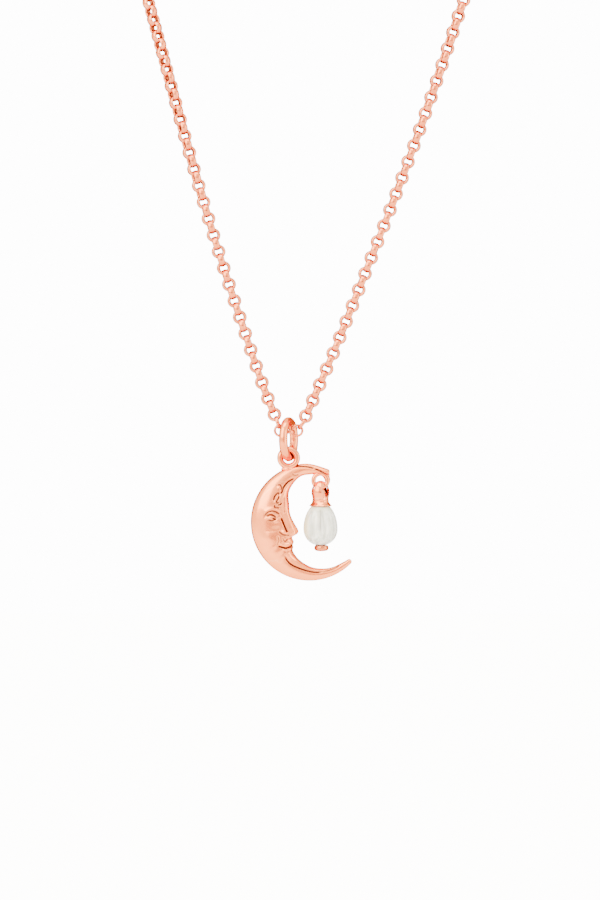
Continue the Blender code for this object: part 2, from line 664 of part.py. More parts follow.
def clasp_side(chain):
    """The rings between the clasp and the two ends of the chain. Returns where the two tubes start."""
    jump = clasp_eye_place() - X * (
        CLASP_EYE_OUTER / 2 - CLASP_EYE_WIRE + JUMP_RING_OUTER / 2 - JUMP_RING_WIRE - LINK_PLAY
    )
    left = jump - X * (JUMP_RING_OUTER / 2 - JUMP_RING_WIRE + LINK_HOLE - LINK_PLAY)
    hook = CLASP_CENTRE + X * (
        CLASP_RADIUS - CLASP_TUBE / 2 + END_RING_OUTER / 2 - END_RING_WIRE - LINK_PLAY
    )
    right = hook + X * (END_RING_OUTER / 2 - END_RING_WIRE + LINK_HOLE - LINK_PLAY)
    body("jump_ring", ring(jump, X, Y, JUMP_RING_OUTER, JUMP_RING_WIRE, JUMP_RING_WIRE, 24, 8), chain)
    body("end_ring", ring(hook, X, Y, END_RING_OUTER, END_RING_WIRE, END_RING_WIRE, 24, 8), chain)
    body("end_link_left", ring(left, X, Z, LINK_OUTER, LINK_THICK, LINK_WIDTH, 24, 8), chain)
    body("end_link_right", ring(right, X, Z, LINK_OUTER, LINK_THICK, LINK_WIDTH, 24, 8), chain)
    away = LINK_OUTER / 2 + TUBE_GAP
    return left - X * away, right + X * away


def chain_legs(chain, left_end, right_end):
    places = link_places()
    away = LINK_OUTER / 2 + TUBE_GAP
    legs = [
        ("chain_left", places[0], LEFT_ROUTE, left_end),
        ("chain_right", places[4], RIGHT_ROUTE, right_end),
    ]
    for name, place, route, end in legs:
        first = Vector((route[0][0] * MM, 0, route[0][2] * MM))
        start = place + (first - place).normalized() * away
        chain_tube(name, at(start.x, start.z), route, end, chain)


def build():
    clear_scene()
    chain = pivot("chain_place", Vector((0, 0, 0)))
    bail = pivot("bail_pivot", at(0, CENTRE_LINK_UP))
    moon = pivot("moon_pivot", at(0, BAIL_BOTTOM_WIRE), bail)
    drop = pivot("drop_pivot", at(DROP_X, DROP_HINGE_UP), moon)
    spin = pivot("pearl_pivot", at(DROP_X, PEARL_TOP - PEARL_HEIGHT / 2), drop)
    clasp = pivot("clasp_pivot", CLASP_CENTRE, chain)
    chain_links(chain)
    bail_ring(bail)
    moon_body(moon)
    moon_eye(moon)
    horn_ring(moon)
    drop_bail(drop)
    pearl_cap(drop)
    head_pin(drop)
    pearl(spin)
    clasp_body(chain)
    clasp_bolt(clasp)
    clasp_spring(chain)
    left_end, right_end = clasp_side(chain)
    chain_legs(chain, left_end, right_end)


build()
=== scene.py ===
"""A rose gold crescent moon with a face in profile and a drop pearl, on a belcher chain, built over the
solid parts of the same necklace. Lengths in the code are millimetres unless a comment says metres."""

import math
import random

import bmesh
import bpy
import numpy as np
from mathutils import Matrix, Vector

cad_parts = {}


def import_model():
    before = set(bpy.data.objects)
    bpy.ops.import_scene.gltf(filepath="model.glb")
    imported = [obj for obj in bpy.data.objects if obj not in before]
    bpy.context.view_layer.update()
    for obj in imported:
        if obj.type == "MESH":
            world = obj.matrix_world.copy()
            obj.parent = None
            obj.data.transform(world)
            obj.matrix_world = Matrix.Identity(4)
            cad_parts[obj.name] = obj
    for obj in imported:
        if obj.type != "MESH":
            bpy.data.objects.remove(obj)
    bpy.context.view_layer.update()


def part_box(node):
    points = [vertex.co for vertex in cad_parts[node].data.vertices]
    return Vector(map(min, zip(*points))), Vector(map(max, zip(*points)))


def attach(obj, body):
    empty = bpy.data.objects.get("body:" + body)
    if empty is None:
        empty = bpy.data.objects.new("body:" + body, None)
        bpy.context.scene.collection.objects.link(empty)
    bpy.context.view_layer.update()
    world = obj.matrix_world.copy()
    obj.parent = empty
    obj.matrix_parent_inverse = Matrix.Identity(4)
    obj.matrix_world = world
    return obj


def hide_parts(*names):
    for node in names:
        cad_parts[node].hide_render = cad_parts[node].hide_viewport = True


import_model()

MM = 0.001
X = Vector((1, 0, 0))
Y = Vector((0, 1, 0))
Z = Vector((0, 0, 1))

# Where the pendant hangs from the nape
PENDANT = Vector((-2.9, -21.0, -188.0))

# Chain
LINK_OUTER = 2.60
LINK_THICK = 0.65
LINK_WIDTH = 1.25
END_LINK_WIDTH = 0.86
LINK_PITCH = 1.56
# Random turn of each link either way, in degrees
LINK_SHAKE = 4
# Links at the pendant, from the middle outwards: outer size, thickness and width
PENDANT_LINKS = [(2.30, 0.40, 0.70), (2.38, 0.46, 0.72), (2.44, 0.50, 0.74)]
LEFT_TWIST = math.radians(43)
RIGHT_TWIST = math.radians(14)
# Shares of a leg: where its twist begins, over how much it grows, and over how much it fades at the nape
TWIST_START = 0.15
TWIST_RISE = 0.19
TWIST_FADE = 0.2

# Routes of the two chain legs from the pendant up to the nape: sideways, back and up
LEFT_ROUTE = [
    (-4.5, 0.0, 7.8), (-7.5, 0.0, 16.5), (-11.8, 0.0, 29.6), (-15.8, 0.0, 42.7), (-19.5, 0.0, 55.8),
    (-23.0, 0.0, 68.9), (-26.6, 0.5, 82.0), (-31.0, 2.2, 97.0), (-36.0, 5.1, 113.0), (-39.8, 8.5, 130.0),
    (-40.4, 12.0, 147.0), (-37.2, 15.4, 162.0), (-30.4, 18.2, 174.4), (-21.5, 20.0, 182.6),
    (-13.0, 20.8, 186.8),
]
RIGHT_ROUTE = [
    (5.4, 0.0, 7.8), (9.1, 0.0, 16.5), (14.3, 0.0, 29.6), (19.4, 0.0, 42.7), (24.2, 0.0, 55.8),
    (28.7, 0.0, 68.9), (33.0, 0.5, 82.0), (37.8, 2.2, 97.0), (42.4, 5.1, 113.0), (45.7, 8.5, 130.0),
    (46.2, 12.0, 147.0), (43.0, 15.4, 162.0), (36.2, 18.2, 174.4), (27.3, 20.0, 182.6),
    (18.8, 20.8, 186.8),
]

# Clasp. Its centre is in metres and its angles in degrees. Bore, bolt, spring and its wire are radii.
CLASP = Vector((1.35, 0, 0)) * MM
CLASP_RADIUS = 2.3
CLASP_TUBE = 1.4
CLASP_EYE = 2.4
CLASP_EYE_WIRE = 0.6
CLASP_BORE = 0.47
BOLT_RADIUS = 0.42
SPRING_COILS = 9
SPRING_RADIUS = 0.31
SPRING_WIRE = 0.07
SPRING_START = 153
SPRING_END = 257

# Bail and rings
BAIL_TURN = math.radians(20.6)
BAIL_WIRE = 1.59
BAIL_WIDE = 7.1
BAIL_TALL = 8.1
EYE_WIRE = 1.15
EYE_OUTER = 4.22
EYE_UP = -4.94
HORN_WIRE = 0.85
HORN_OUTER = 3.40
# Radius of the middle of the horn ring's wire
HORN_LINE = (HORN_OUTER - HORN_WIRE) / 2
HORN_UP = -9.05
# Balls of solder that join the horn ring to the moon: degrees round the ring and size
HORN_SOLDER = [(80, 0.42), (62, 0.50), (44, 0.56), (27, 0.58), (10, 0.54), (-6, 0.50), (-20, 0.44)]

# Drop, from its hinge on the horn ring down to the bead. Bores are given by their radii.
DROP_X = 5.8
DROP_TURN = math.radians(46)
DROP_HINGE_UP = -10.325
LOOP_TOP = -9.06
LOOP_TALL = 3.45
LOOP_HALF_WIDE = 1.65
LOOP_HALF_DEEP = 1.5
CAP_TOP = -12.56
CAP_BORE = 0.45
CAP_SCALLOPS = 8
PIN_TOP = -12.61
PIN_RADIUS = 0.40
BEAD_TOP = -20.90
BEAD_SHIFT = 0.16
PEARL_TOP = -12.96
PEARL_TALL = 7.90
PEARL_RADIUS = 3.15
PEARL_BORE = 0.5
# Height that the nacre's tints and groove are measured from
PEARL_MIDDLE = -16.8
# Share of the pearl's height that lies above its widest place
PEARL_SHOULDER = 0.62

# Moon. The bay is the hollow inside the crescent.
MOON_RADIUS = 10.69
MOON_CENTRE = (3.80, -16.59)
BAY_CENTRE = (6.07, -16.41)
MOON_THICK = 2.9
MOON_BACK = 1.0
BACK_BEVEL = 0.10
# The outer edge is cut back by this at the upper horn, starting and in full at these degrees
HORN_CUT = 0.50
HORN_CUT_START = 110
HORN_CUT_FULL = 84
MOON_STEPS_ACROSS = 120
# The crescent has its full thickness where it is at least this wide
FULL_WIDTH = 7.0
# Extra thickness at the upper horn's end, and the rows over which it fades
HORN_BUILD = 0.78
HORN_BUILD_ROWS = 24
# A carved line this deep gets the full painted shade
DARKEST_DEPTH = 0.22
# Rows to each side over which the outer edge is evened out
EVEN_OUT = 22
EVEN_SHARES = np.hanning(2 * EVEN_OUT + 3)[1:-1] / np.hanning(2 * EVEN_OUT + 3).sum()
# The crescent's inner edge with the profile: horn, forehead, nose, lips, chin and lower tip
INNER_EDGE = [
    (7.0, -8.0), (5.7, -7.9), (4.1, -7.95), (2.6, -8.17), (1.7, -8.7), (0.8, -9.7), (0.2, -10.8),
    (0.0, -11.8), (0.12, -13.2), (0.22, -14.7), (0.58, -15.9), (1.22, -17.1), (1.78, -18.15), (1.55, -18.75),
    (0.82, -19.15), (0.68, -19.55), (0.96, -20.16), (0.78, -20.75), (0.86, -21.2), (0.74, -21.65),
    (0.95, -22.2), (1.7, -23.2), (2.9, -24.15), (4.4, -24.85), (6.25, -25.05), (8.0, -24.78),
    (9.5, -24.1), (10.7, -23.45),
]

# Carved lines of the moon: depth (below 0 raises), half width, points
CARVING = [
    (0.34, 0.17, [(7.75, -8.75), (6.42, -7.75), (5.63, -7.26), (4.5, -6.85)]),
    (0.24, 0.20, [(4.9, -6.95), (3.6, -6.62), (2.6, -6.50), (1.6, -6.42), (0.5, -6.42)]),
    (
        0.30, 0.16,
        [(1.15, -8.55), (0.79, -8.8), (-0.1, -9.31), (-0.92, -10.32), (-1.18, -11.09), (-1.68, -11.72)],
    ),
    (0.14, 0.16, [(1.9, -7.9), (1.2, -8.1), (0.5, -7.7)]),
    (0.13, 0.11, [(-0.79, -11.9), (-0.76, -13.12), (-0.76, -14.14), (-0.67, -15.2)]),
    (0.20, 0.13, [(-2.07, -9.94), (-1.56, -9.80), (-1.24, -10.32), (-1.43, -10.85)]),
    (0.25, 0.13, [(-2.7, -12.8), (-2.64, -12.23), (-2.32, -11.66), (-1.88, -11.28), (-1.68, -11.72)]),
    (0.24, 0.12, [(-1.66, -11.75), (-1.88, -12.36), (-2.19, -12.87), (-2.0, -13.12), (-1.56, -12.93)]),
    (0.30, 0.11, [(-1.98, -13.42), (-1.56, -13.44), (-1.2, -13.08)]),
    (0.26, 0.10, [(-2.51, -13.37), (-2.45, -13.93), (-1.56, -14.01)]),
    (
        0.22, 0.14,
        [(-4.36, -15.78), (-4.09, -15.1), (-3.53, -14.72), (-2.74, -14.61), (-1.94, -14.94), (-1.5, -15.4)],
    ),
    (0.36, 0.13, [(-4.05, -15.62), (-3.64, -15.30), (-3.07, -15.26), (-2.62, -15.49), (-2.2, -15.9)]),
    (0.22, 0.12, [(-3.82, -16.12), (-2.96, -16.34), (-2.33, -16.01)]),
    (0.42, 0.14, [(-2.95, -15.82), (-2.55, -16.02), (-2.25, -15.98)]),
    (0.42, 0.13, [(-1.42, -15.62), (-0.81, -17.14), (-0.13, -18.68)]),
    (0.20, 0.12, [(-1.83, -18.04), (-1.49, -18.5), (-0.97, -18.86), (-0.36, -18.97), (0.4, -18.95)]),
    (0.30, 0.12, [(-2.1, -20.91), (-1.38, -21.10), (-0.59, -21.30), (0.2, -21.1), (0.9, -20.71)]),
    (0.17, 0.12, [(-1.15, -19.4), (-0.59, -20.15), (-0.13, -19.47)]),
    (0.13, 0.14, [(-1.04, -21.92), (-0.47, -22.07), (0.3, -21.86)]),
    (
        0.26, 0.15,
        [(-0.93, -22.34), (-0.29, -23.52), (0.61, -24.37), (2.47, -25.17), (4.73, -25.71), (6.54, -25.62)],
    ),
    (0.16, 0.14, [(6.54, -25.62), (7.4, -25.4), (8.35, -24.99), (9.3, -24.45)]),
    (0.08, 0.12, [(-4.36, -18.11), (-3.19, -18.18), (-2.06, -18.09)]),
    (0.14, 0.16, [(-1.94, -19.06), (-1.79, -19.96), (-2.05, -20.85)]),
    (-0.16, 0.42, [(-0.13, -13.86), (0.30, -16.2), (0.85, -17.9)]),
    (-0.16, 0.20, [(-1.49, -20.68), (-0.59, -20.72), (0.43, -20.48)]),
    (-0.16, 0.20, [(-1.04, -21.58), (-0.25, -21.64), (0.61, -21.36)]),
    (-0.14, 0.26, [(-4.4, -14.9), (-3.5, -14.3), (-2.5, -14.2), (-1.7, -14.5)]),
    (-0.10, 0.22, [(-2.45, -12.6), (-2.2, -11.9), (-1.8, -11.5)]),
]
# Soft swellings: centre, reach sideways and up, height (below 0 hollows)
SWELLINGS = [
    (-3.15, -15.75, 0.75, 0.42, 0.22), (-3.4, -19.5, 1.5, 1.3, 0.16), (0.2, -22.6, 0.75, 0.65, 0.20),
    (-0.75, -18.38, 0.50, 0.40, 0.22), (-2.3, -17.0, 0.9, 0.7, -0.14), (-1.9, -15.6, 0.35, 0.45, -0.16),
    (-1.75, -14.35, 0.35, 0.3, 0.10), (-1.7, -10.3, 0.30, 0.42, 0.10), (0.9, -18.2, 0.5, 0.45, 0.10),
]


def at(across, up, back=0.0):
    """A place given from the pendant's hanging point, in world metres."""
    return (PENDANT + Vector((across, back, up))) * MM


# Materials


def new_group(name, inputs, outputs):
    """An empty node group with these sockets, and its two end nodes."""
    tree = bpy.data.node_groups.new(name, "ShaderNodeTree")
    for label, kind, value in inputs:
        socket = tree.interface.new_socket(label, in_out="INPUT", socket_type=kind)
        if value is not None:
            socket.default_value = value
    for label, kind in outputs:
        tree.interface.new_socket(label, in_out="OUTPUT", socket_type=kind)
    return tree, tree.nodes.new("NodeGroupInput"), tree.nodes.new("NodeGroupOutput")


def add(tree, kind, links=None, **values):
    """A node with its properties set, and its inputs linked or given values by name or number."""
    node = tree.nodes.new(kind)
    for key, value in values.items():
        setattr(node, key, value)
    for key, source in (links or {}).items():
        socket = node.inputs[key]
        if isinstance(source, bpy.types.NodeSocket):
            tree.links.new(source, socket)
        else:
            socket.default_value = source
    return node


def blend_colours(tree, share, low, high):
    """A colour between low and high, by share. The node's colour sockets are inputs 6 and 7, output 2."""
    return add(tree, "ShaderNodeMix", {0: share, 6: low, 7: high}, data_type="RGBA").outputs[2]


def maths(tree, how, a, b=0.0, clamp=False):
    return add(tree, "ShaderNodeMath", {0: a, 1: b}, operation=how, use_clamp=clamp).outputs[0]


def span(tree, value, low, high, to_low, to_high):
    """Maps low to to_low and high to to_high, and stays between them."""
    links = {"Value": value, "From Min": low, "From Max": high, "To Min": to_low, "To Max": to_high}
    return add(tree, "ShaderNodeMapRange", links).outputs[0]


def noise(tree, where, scale, detail=3.0, rough=0.5, warp=0.0):
    links = {"Vector": where, "Scale": scale, "Detail": detail, "Roughness": rough, "Distortion": warp}
    return add(tree, "ShaderNodeTexNoise", links).outputs["Fac"]


def millimetres(tree):
    """Object coordinates in millimetres."""
    place = add(tree, "ShaderNodeTexCoord").outputs["Object"]
    larger = {0: place, 1: (1000, 1000, 1000)}
    return add(tree, "ShaderNodeVectorMath", larger, operation="MULTIPLY").outputs[0]


def scratch_group():
    """Hairline scratches in two directions, faint cloudiness and tiny dents, as masks and a height."""
    tree, inside, out = new_group(
        "handling_marks",
        [("Place", "NodeSocketVector", None), ("Amount", "NodeSocketFloat", 1.0)],
        [("Scratches", "NodeSocketFloat"), ("Cloud", "NodeSocketFloat"), ("Height", "NodeSocketFloat")],
    )
    lines = []
    for turn, stretch in ((0.5, (0.35, 9, 9)), (2.1, (0.3, 11, 11))):
        links = {"Vector": inside.outputs["Place"], "Rotation": (0.3, turn, 0.2), "Scale": stretch}
        laid = add(tree, "ShaderNodeMapping", links).outputs[0]
        hair = noise(tree, laid, 3.0, 4.0, 0.6)
        lines.append(span(tree, hair, 0.62, 0.72, 0.0, 1.0))
    both = maths(tree, "MAXIMUM", lines[0], lines[1])
    patches = noise(tree, inside.outputs["Place"], 0.45, 3.0, 0.55, 0.4)
    where = span(tree, patches, 0.42, 0.62, 0.1, 1.0)
    scratches = maths(tree, "MULTIPLY", both, where)
    scratches = maths(tree, "MULTIPLY", scratches, inside.outputs["Amount"])
    dents = noise(tree, inside.outputs["Place"], 1.7, 2.0, 0.4)
    deep = maths(tree, "MULTIPLY", scratches, -0.35)
    tree.links.new(scratches, out.inputs["Scratches"])
    tree.links.new(patches, out.inputs["Cloud"])
    tree.links.new(maths(tree, "ADD", dents, deep), out.inputs["Height"])
    return tree


def gold_group(marks):
    """Polished rose gold: base colour, roughness and height from handling marks, with painted shade in
    creases and hollows.
    """
    tree, inside, out = new_group(
        "rose_gold_surface",
        [
            ("Pale", "NodeSocketColor", (0.99, 0.33, 0.15, 1)),
            ("Deep", "NodeSocketColor", (0.93, 0.26, 0.11, 1)),
            ("Wear", "NodeSocketFloat", 1.0),
            ("Polish", "NodeSocketFloat", 0.12),
            ("Painted_Shade", "NodeSocketFloat", 0.0),
        ],
        [("Color", "NodeSocketColor"), ("Roughness", "NodeSocketFloat"), ("Height", "NodeSocketFloat")],
    )
    place = millimetres(tree)
    mark = add(tree, "ShaderNodeGroup", node_tree=marks)
    tree.links.new(place, mark.inputs["Place"])
    tree.links.new(inside.outputs["Wear"], mark.inputs["Amount"])
    tone = span(tree, mark.outputs["Cloud"], 0.3, 0.7, 0.0, 0.55)
    colour = blend_colours(tree, tone, inside.outputs["Pale"], inside.outputs["Deep"])
    # Painted shade: concave places, places near other metal and the moon's carved lines are darkened towards
    # near black
    hollow = add(tree, "ShaderNodeNewGeometry").outputs["Pointiness"]
    painted_shade = span(tree, hollow, 0.47, 0.38, 0.0, 0.7)
    painted_shade = maths(tree, "MAXIMUM", painted_shade, inside.outputs["Painted_Shade"], clamp=True)
    colour = blend_colours(tree, painted_shade, colour, (0.045, 0.008, 0.006, 1))
    rub = span(tree, hollow, 0.53, 0.60, 0.0, 0.35)
    colour = blend_colours(tree, rub, colour, (1.0, 0.46, 0.26, 1))
    rough = maths(tree, "MULTIPLY", mark.outputs["Scratches"], 0.16)
    rough = maths(tree, "ADD", rough, inside.outputs["Polish"])
    rough = maths(tree, "ADD", rough, maths(tree, "MULTIPLY", mark.outputs["Cloud"], 0.06))
    rough = maths(tree, "ADD", rough, maths(tree, "MULTIPLY", painted_shade, 0.2), clamp=True)
    tree.links.new(colour, out.inputs["Color"])
    tree.links.new(rough, out.inputs["Roughness"])
    tree.links.new(mark.outputs["Height"], out.inputs["Height"])
    return tree


def new_material(name):
    material = bpy.data.materials.new(name)
    material.use_nodes = True
    tree = material.node_tree
    return material, tree, tree.nodes["Principled BSDF"]


def relief(tree, shader, height, strength, distance):
    """Bumps the shader's normal by a height. The distance is in metres."""
    bump = add(tree, "ShaderNodeBump", {"Height": height, "Strength": strength, "Distance": distance})
    tree.links.new(bump.outputs["Normal"], shader.inputs["Normal"])


def gold_material(name, wear, polish, bump, pale, deep, shaded, reach=0.0008, with_line_shade=False):
    """Rose gold with painted shade where other metal is near and, on the moon, in the carved lines."""
    material, tree, shader = new_material(name)
    links = {"Wear": wear, "Polish": polish, "Pale": (*pale, 1), "Deep": (*deep, 1)}
    gold = add(tree, "ShaderNodeGroup", node_tree=SURFACE)
    for key, value in links.items():
        gold.inputs[key].default_value = value
    # Painted shade from ambient occlusion: darker where other metal is near, up to the share given by shaded
    nearby = add(tree, "ShaderNodeAmbientOcclusion", {"Distance": reach}, samples=6)
    painted_shade_mask = span(tree, nearby.outputs["AO"], 0.72, 0.15, 0.0, shaded)
    # On the moon, the painted shade of the carved lines is added
    if with_line_shade:
        painted_line_shade = add(tree, "ShaderNodeAttribute", attribute_name="painted_line_shade")
        painted_shade_mask = maths(tree, "MAXIMUM", painted_shade_mask, painted_line_shade.outputs["Fac"])
    tree.links.new(painted_shade_mask, gold.inputs["Painted_Shade"])
    shader.inputs["Metallic"].default_value = 1.0
    shader.inputs["Specular Tint"].default_value = (0.80, 0.32, 0.19, 1)
    tree.links.new(gold.outputs["Color"], shader.inputs["Base Color"])
    tree.links.new(gold.outputs["Roughness"], shader.inputs["Roughness"])
    relief(tree, shader, gold.outputs["Height"], bump, 0.00002)
    return material


def pearl_material():
    """Nacre: a warm white with fine upright bands, a painted yellowish reflection on one side and painted
    yellowish shade under the cap.
    """
    material, tree, shader = new_material("pearl_nacre")
    place = millimetres(tree)
    centre = (PENDANT.x + DROP_X, PENDANT.y, PENDANT.z + PEARL_MIDDLE)
    local = add(tree, "ShaderNodeVectorMath", {0: place, 1: centre}, operation="SUBTRACT").outputs[0]
    upright = add(tree, "ShaderNodeMapping", {"Vector": local, "Scale": (1.3, 1.3, 0.12)}).outputs[0]
    bands = noise(tree, upright, 1.2, 3.0, 0.5, 0.3)
    grain = noise(tree, local, 6.0, 4.0, 0.6)
    banded = span(tree, bands, 0.35, 0.65, 0, 1)
    colour = blend_colours(tree, banded, (0.83, 0.84, 0.81, 1), (0.45, 0.47, 0.44, 1))
    parts = add(tree, "ShaderNodeSeparateXYZ", {0: local}).outputs
    # Painted reflection: the pearl's left rim is tinted yellowish
    side = span(tree, parts[0], -1.9, -3.0, 0.0, 0.9)
    colour = blend_colours(tree, side, colour, (0.76, 0.73, 0.40, 1))
    # Painted shade: the top of the pearl under the cap is darkened and yellowed
    painted_cap_shade = span(tree, parts[2], 2.0, 3.7, 0.0, 0.9)
    colour = blend_colours(tree, painted_cap_shade, colour, (0.66, 0.62, 0.34, 1))
    colour = blend_colours(tree, span(tree, grain, 0.4, 0.75, 0.0, 0.12), colour, (0.70, 0.70, 0.66, 1))
    off_middle = maths(tree, "ABSOLUTE", maths(tree, "ADD", parts[0], 0.05))
    groove = span(tree, off_middle, 0.05, 0.20, 0.85, 0.0)
    groove = maths(tree, "MAXIMUM", groove, span(tree, off_middle, 0.2, 0.8, 0.35, 0.0))
    groove = maths(tree, "MULTIPLY", groove, span(tree, parts[2], -1.7, -0.7, 0.0, 1.0))
    groove = maths(tree, "MULTIPLY", groove, span(tree, parts[2], 3.0, 2.2, 0.0, 1.0))
    colour = blend_colours(tree, groove, colour, (0.26, 0.26, 0.25, 1))
    rough = span(tree, grain, 0.3, 0.7, 0.22, 0.36)
    tree.links.new(colour, shader.inputs["Base Color"])
    tree.links.new(rough, shader.inputs["Roughness"])
    shader.inputs["Subsurface Weight"].default_value = 0.25
    shader.inputs["Subsurface Radius"].default_value = (0.0012, 0.0010, 0.0008)
    shader.inputs["Subsurface Scale"].default_value = 1.0
    shader.inputs["Coat Weight"].default_value = 0.6
    shader.inputs["Coat Roughness"].default_value = 0.12
    shader.inputs["Sheen Weight"].default_value = 0.1
    shader.inputs["Thin Film Thickness"].default_value = 260.0
    shader.inputs["Thin Film IOR"].default_value = 1.25
    height = maths(tree, "ADD", bands, maths(tree, "MULTIPLY", grain, 0.15))
    relief(tree, shader, height, 0.35, 0.00012)
    return material


def steel_material():
    material, tree, shader = new_material("drawn_spring_steel")
    place = millimetres(tree)
    mark = add(tree, "ShaderNodeGroup", node_tree=MARKS)
    tree.links.new(place, mark.inputs["Place"])
    colour = blend_colours(tree, mark.outputs["Cloud"], (0.62, 0.62, 0.65, 1), (0.46, 0.46, 0.49, 1))
    rough = span(tree, mark.outputs["Scratches"], 0, 1, 0.24, 0.42)
    shader.inputs["Metallic"].default_value = 1.0
    tree.links.new(colour, shader.inputs["Base Color"])
    tree.links.new(rough, shader.inputs["Roughness"])
    relief(tree, shader, mark.outputs["Height"], 0.3, 0.00002)
    return material


MARKS = scratch_group()
SURFACE = gold_group(MARKS)
MOON_GOLD = gold_material(
    "moon_rose_gold", wear=0.7, polish=0.19, bump=0.35, pale=(0.99, 0.295, 0.10), deep=(0.96, 0.24, 0.08),
    shaded=0.45, with_line_shade=True,
)
WIRE_GOLD = gold_material(
    "wire_rose_gold", wear=0.9, polish=0.11, bump=0.4, pale=(0.92, 0.265, 0.09), deep=(0.82, 0.20, 0.07),
    shaded=0.5,
)
# Painted shade: the chain's gold is painted darker than the moon's, and its occlusion shade reaches further,
# for the shade between the links
CHAIN_GOLD = gold_material(
    "chain_rose_gold", wear=1.0, polish=0.10, bump=0.5, pale=(0.80, 0.20, 0.072), deep=(0.58, 0.115, 0.042),
    shaded=0.97, reach=0.0017,
)
# Painted shade: the bead's gold is painted darker than the other rose gold
BEAD_GOLD = gold_material(
    "bead_rose_gold", wear=1.0, polish=0.16, bump=0.5, pale=(0.62, 0.17, 0.06), deep=(0.48, 0.12, 0.04),
    shaded=0.8,
)
NACRE = pearl_material()
STEEL = steel_material()


# Shapes


def new_object(name, bm):
    mesh = bpy.data.meshes.new(name)
    bm.to_mesh(mesh)
    bm.free()
    obj = bpy.data.objects.new(name, mesh)
    bpy.context.scene.collection.objects.link(obj)
    return obj


def piece(name, bm, body, nodes, material, sharp=50):
    """A shown object that rides on a body and stands for some of the solid parts."""
    bmesh.ops.recalc_face_normals(bm, faces=bm.faces)
    obj = new_object(name, bm)
    obj.data.shade_smooth()
    obj.data.set_sharp_from_angle(angle=math.radians(sharp))
    obj.data.materials.append(material)
    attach(obj, body)
    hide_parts(*nodes)
    return obj


def section(half_a, half_b, sides, power=2.0):
    """A closed outline, an oval at power 2 and squarer above."""
    points = []
    for i in range(sides):
        turn = math.tau * i / sides
        c = math.cos(turn)
        s = math.sin(turn)
        points.append(
            (
                half_a * math.copysign(abs(c) ** (2 / power), c),
                half_b * math.copysign(abs(s) ** (2 / power), s),
            )
        )
    return points


def sweep(bm, frames, outline, closed):
    """Carries an outline along frames, each a place and two directions."""
    rings = []
    for place, first, second in frames:
        rings.append([bm.verts.new(place + first * a * MM + second * b * MM) for a, b in outline])
    join_rings(bm, rings, closed)
    return bm


def join_rings(bm, rings, closed):
    """Faces between rings of points, with an end face on both ends unless the row closes on itself."""
    count = len(rings[0])
    pairs = list(zip(rings, rings[1:]))
    if closed:
        pairs.append((rings[-1], rings[0]))
    else:
        bm.faces.new(rings[0])
        bm.faces.new(rings[-1])
    for near, far in pairs:
        for i in range(count):
            j = (i + 1) % count
            bm.faces.new((near[i], near[j], far[j], far[i]))


def arc(centre, right, up, half_right, half_up, start, end, steps, closed=False):
    """Frames along an oval arc: a place, the way outwards and the oval's axis."""
    axis = right.cross(up)
    frames = []
    for i in range(steps if closed else steps + 1):
        turn = start + (end - start) * i / steps
        place = centre + (right * (half_right * math.cos(turn)) + up * (half_up * math.sin(turn))) * MM
        outwards = right * (half_up * math.cos(turn)) + up * (half_right * math.sin(turn))
        frames.append((place, outwards.normalized(), axis))
    return frames


def ring(bm, centre, right, up, outer, thick, width, steps=48, sides=16, outer_up=None, power=2.0):
    """A ring of wire, thick in its own plane and width across it, oval where outer_up differs."""
    half_right = (outer - thick) / 2
    half_up = ((outer_up or outer) - thick) / 2
    frames = arc(centre, right, up, half_right, half_up, 0, math.tau, steps, closed=True)
    return sweep(bm, frames, section(thick / 2, width / 2, sides, power), closed=True)


def turned(bm, profile, centre, steps, wave=None):
    """Turns (radius, height) points about the vertical. wave(turn, i) scales the radius of point i."""
    rings = []
    for k in range(steps):
        turn = math.tau * k / steps
        row = []
        for i, (radius, height) in enumerate(profile):
            reach = radius * (wave(turn, i) if wave else 1.0)
            point = Vector((reach * math.cos(turn), reach * math.sin(turn), height))
            row.append(bm.verts.new(centre + point * MM))
        rings.append(row)
    join_rings(bm, rings, closed=True)
    bmesh.ops.remove_doubles(bm, verts=bm.verts, dist=1e-7)
    return bm


def smooth_points(route, step, fineness=40):
    """Evenly spaced points on a Catmull-Rom curve through the route."""
    ends = [route[0] * 2 - route[1], *route, route[-1] * 2 - route[-2]]
    fine = [route[0]]
    for a, b, c, d in zip(ends, ends[1:], ends[2:], ends[3:]):
        for i in range(1, fineness + 1):
            t = i / fineness
            bend = (2 * a - 5 * b + 4 * c - d) * t * t + (3 * b - a - 3 * c + d) * t * t * t
            fine.append(b + ((c - a) * t + bend) / 2)
    lengths = [0.0]
    for near, far in zip(fine, fine[1:]):
        lengths.append(lengths[-1] + (far - near).length)
    count = max(2, round(lengths[-1] / step))
    points = []
    place = 0
    for i in range(count + 1):
        wanted = lengths[-1] * i / count
        while place < len(fine) - 2 and lengths[place + 1] < wanted:
            place += 1
        share = (wanted - lengths[place]) / (lengths[place + 1] - lengths[place])
        points.append(fine[place].lerp(fine[place + 1], share))
    return points


def middle(node):
    """The middle of a solid part's box."""
    low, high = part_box(node)
    return (Vector(low) + Vector(high)) / 2


def apply_modifiers(obj):
    bpy.context.view_layer.update()
    graph = bpy.context.evaluated_depsgraph_get()
    mesh = bpy.data.meshes.new_from_object(obj.evaluated_get(graph))
    obj.modifiers.clear()
    obj.data = mesh
    mesh.shade_smooth()
    return mesh


# Camera

CAMERA_AWAY = 600
CAMERA_SIDE = -0.83
CAMERA_UP = -191.5
# Height that the camera takes in at the pendant
CAMERA_TALL = 163.6


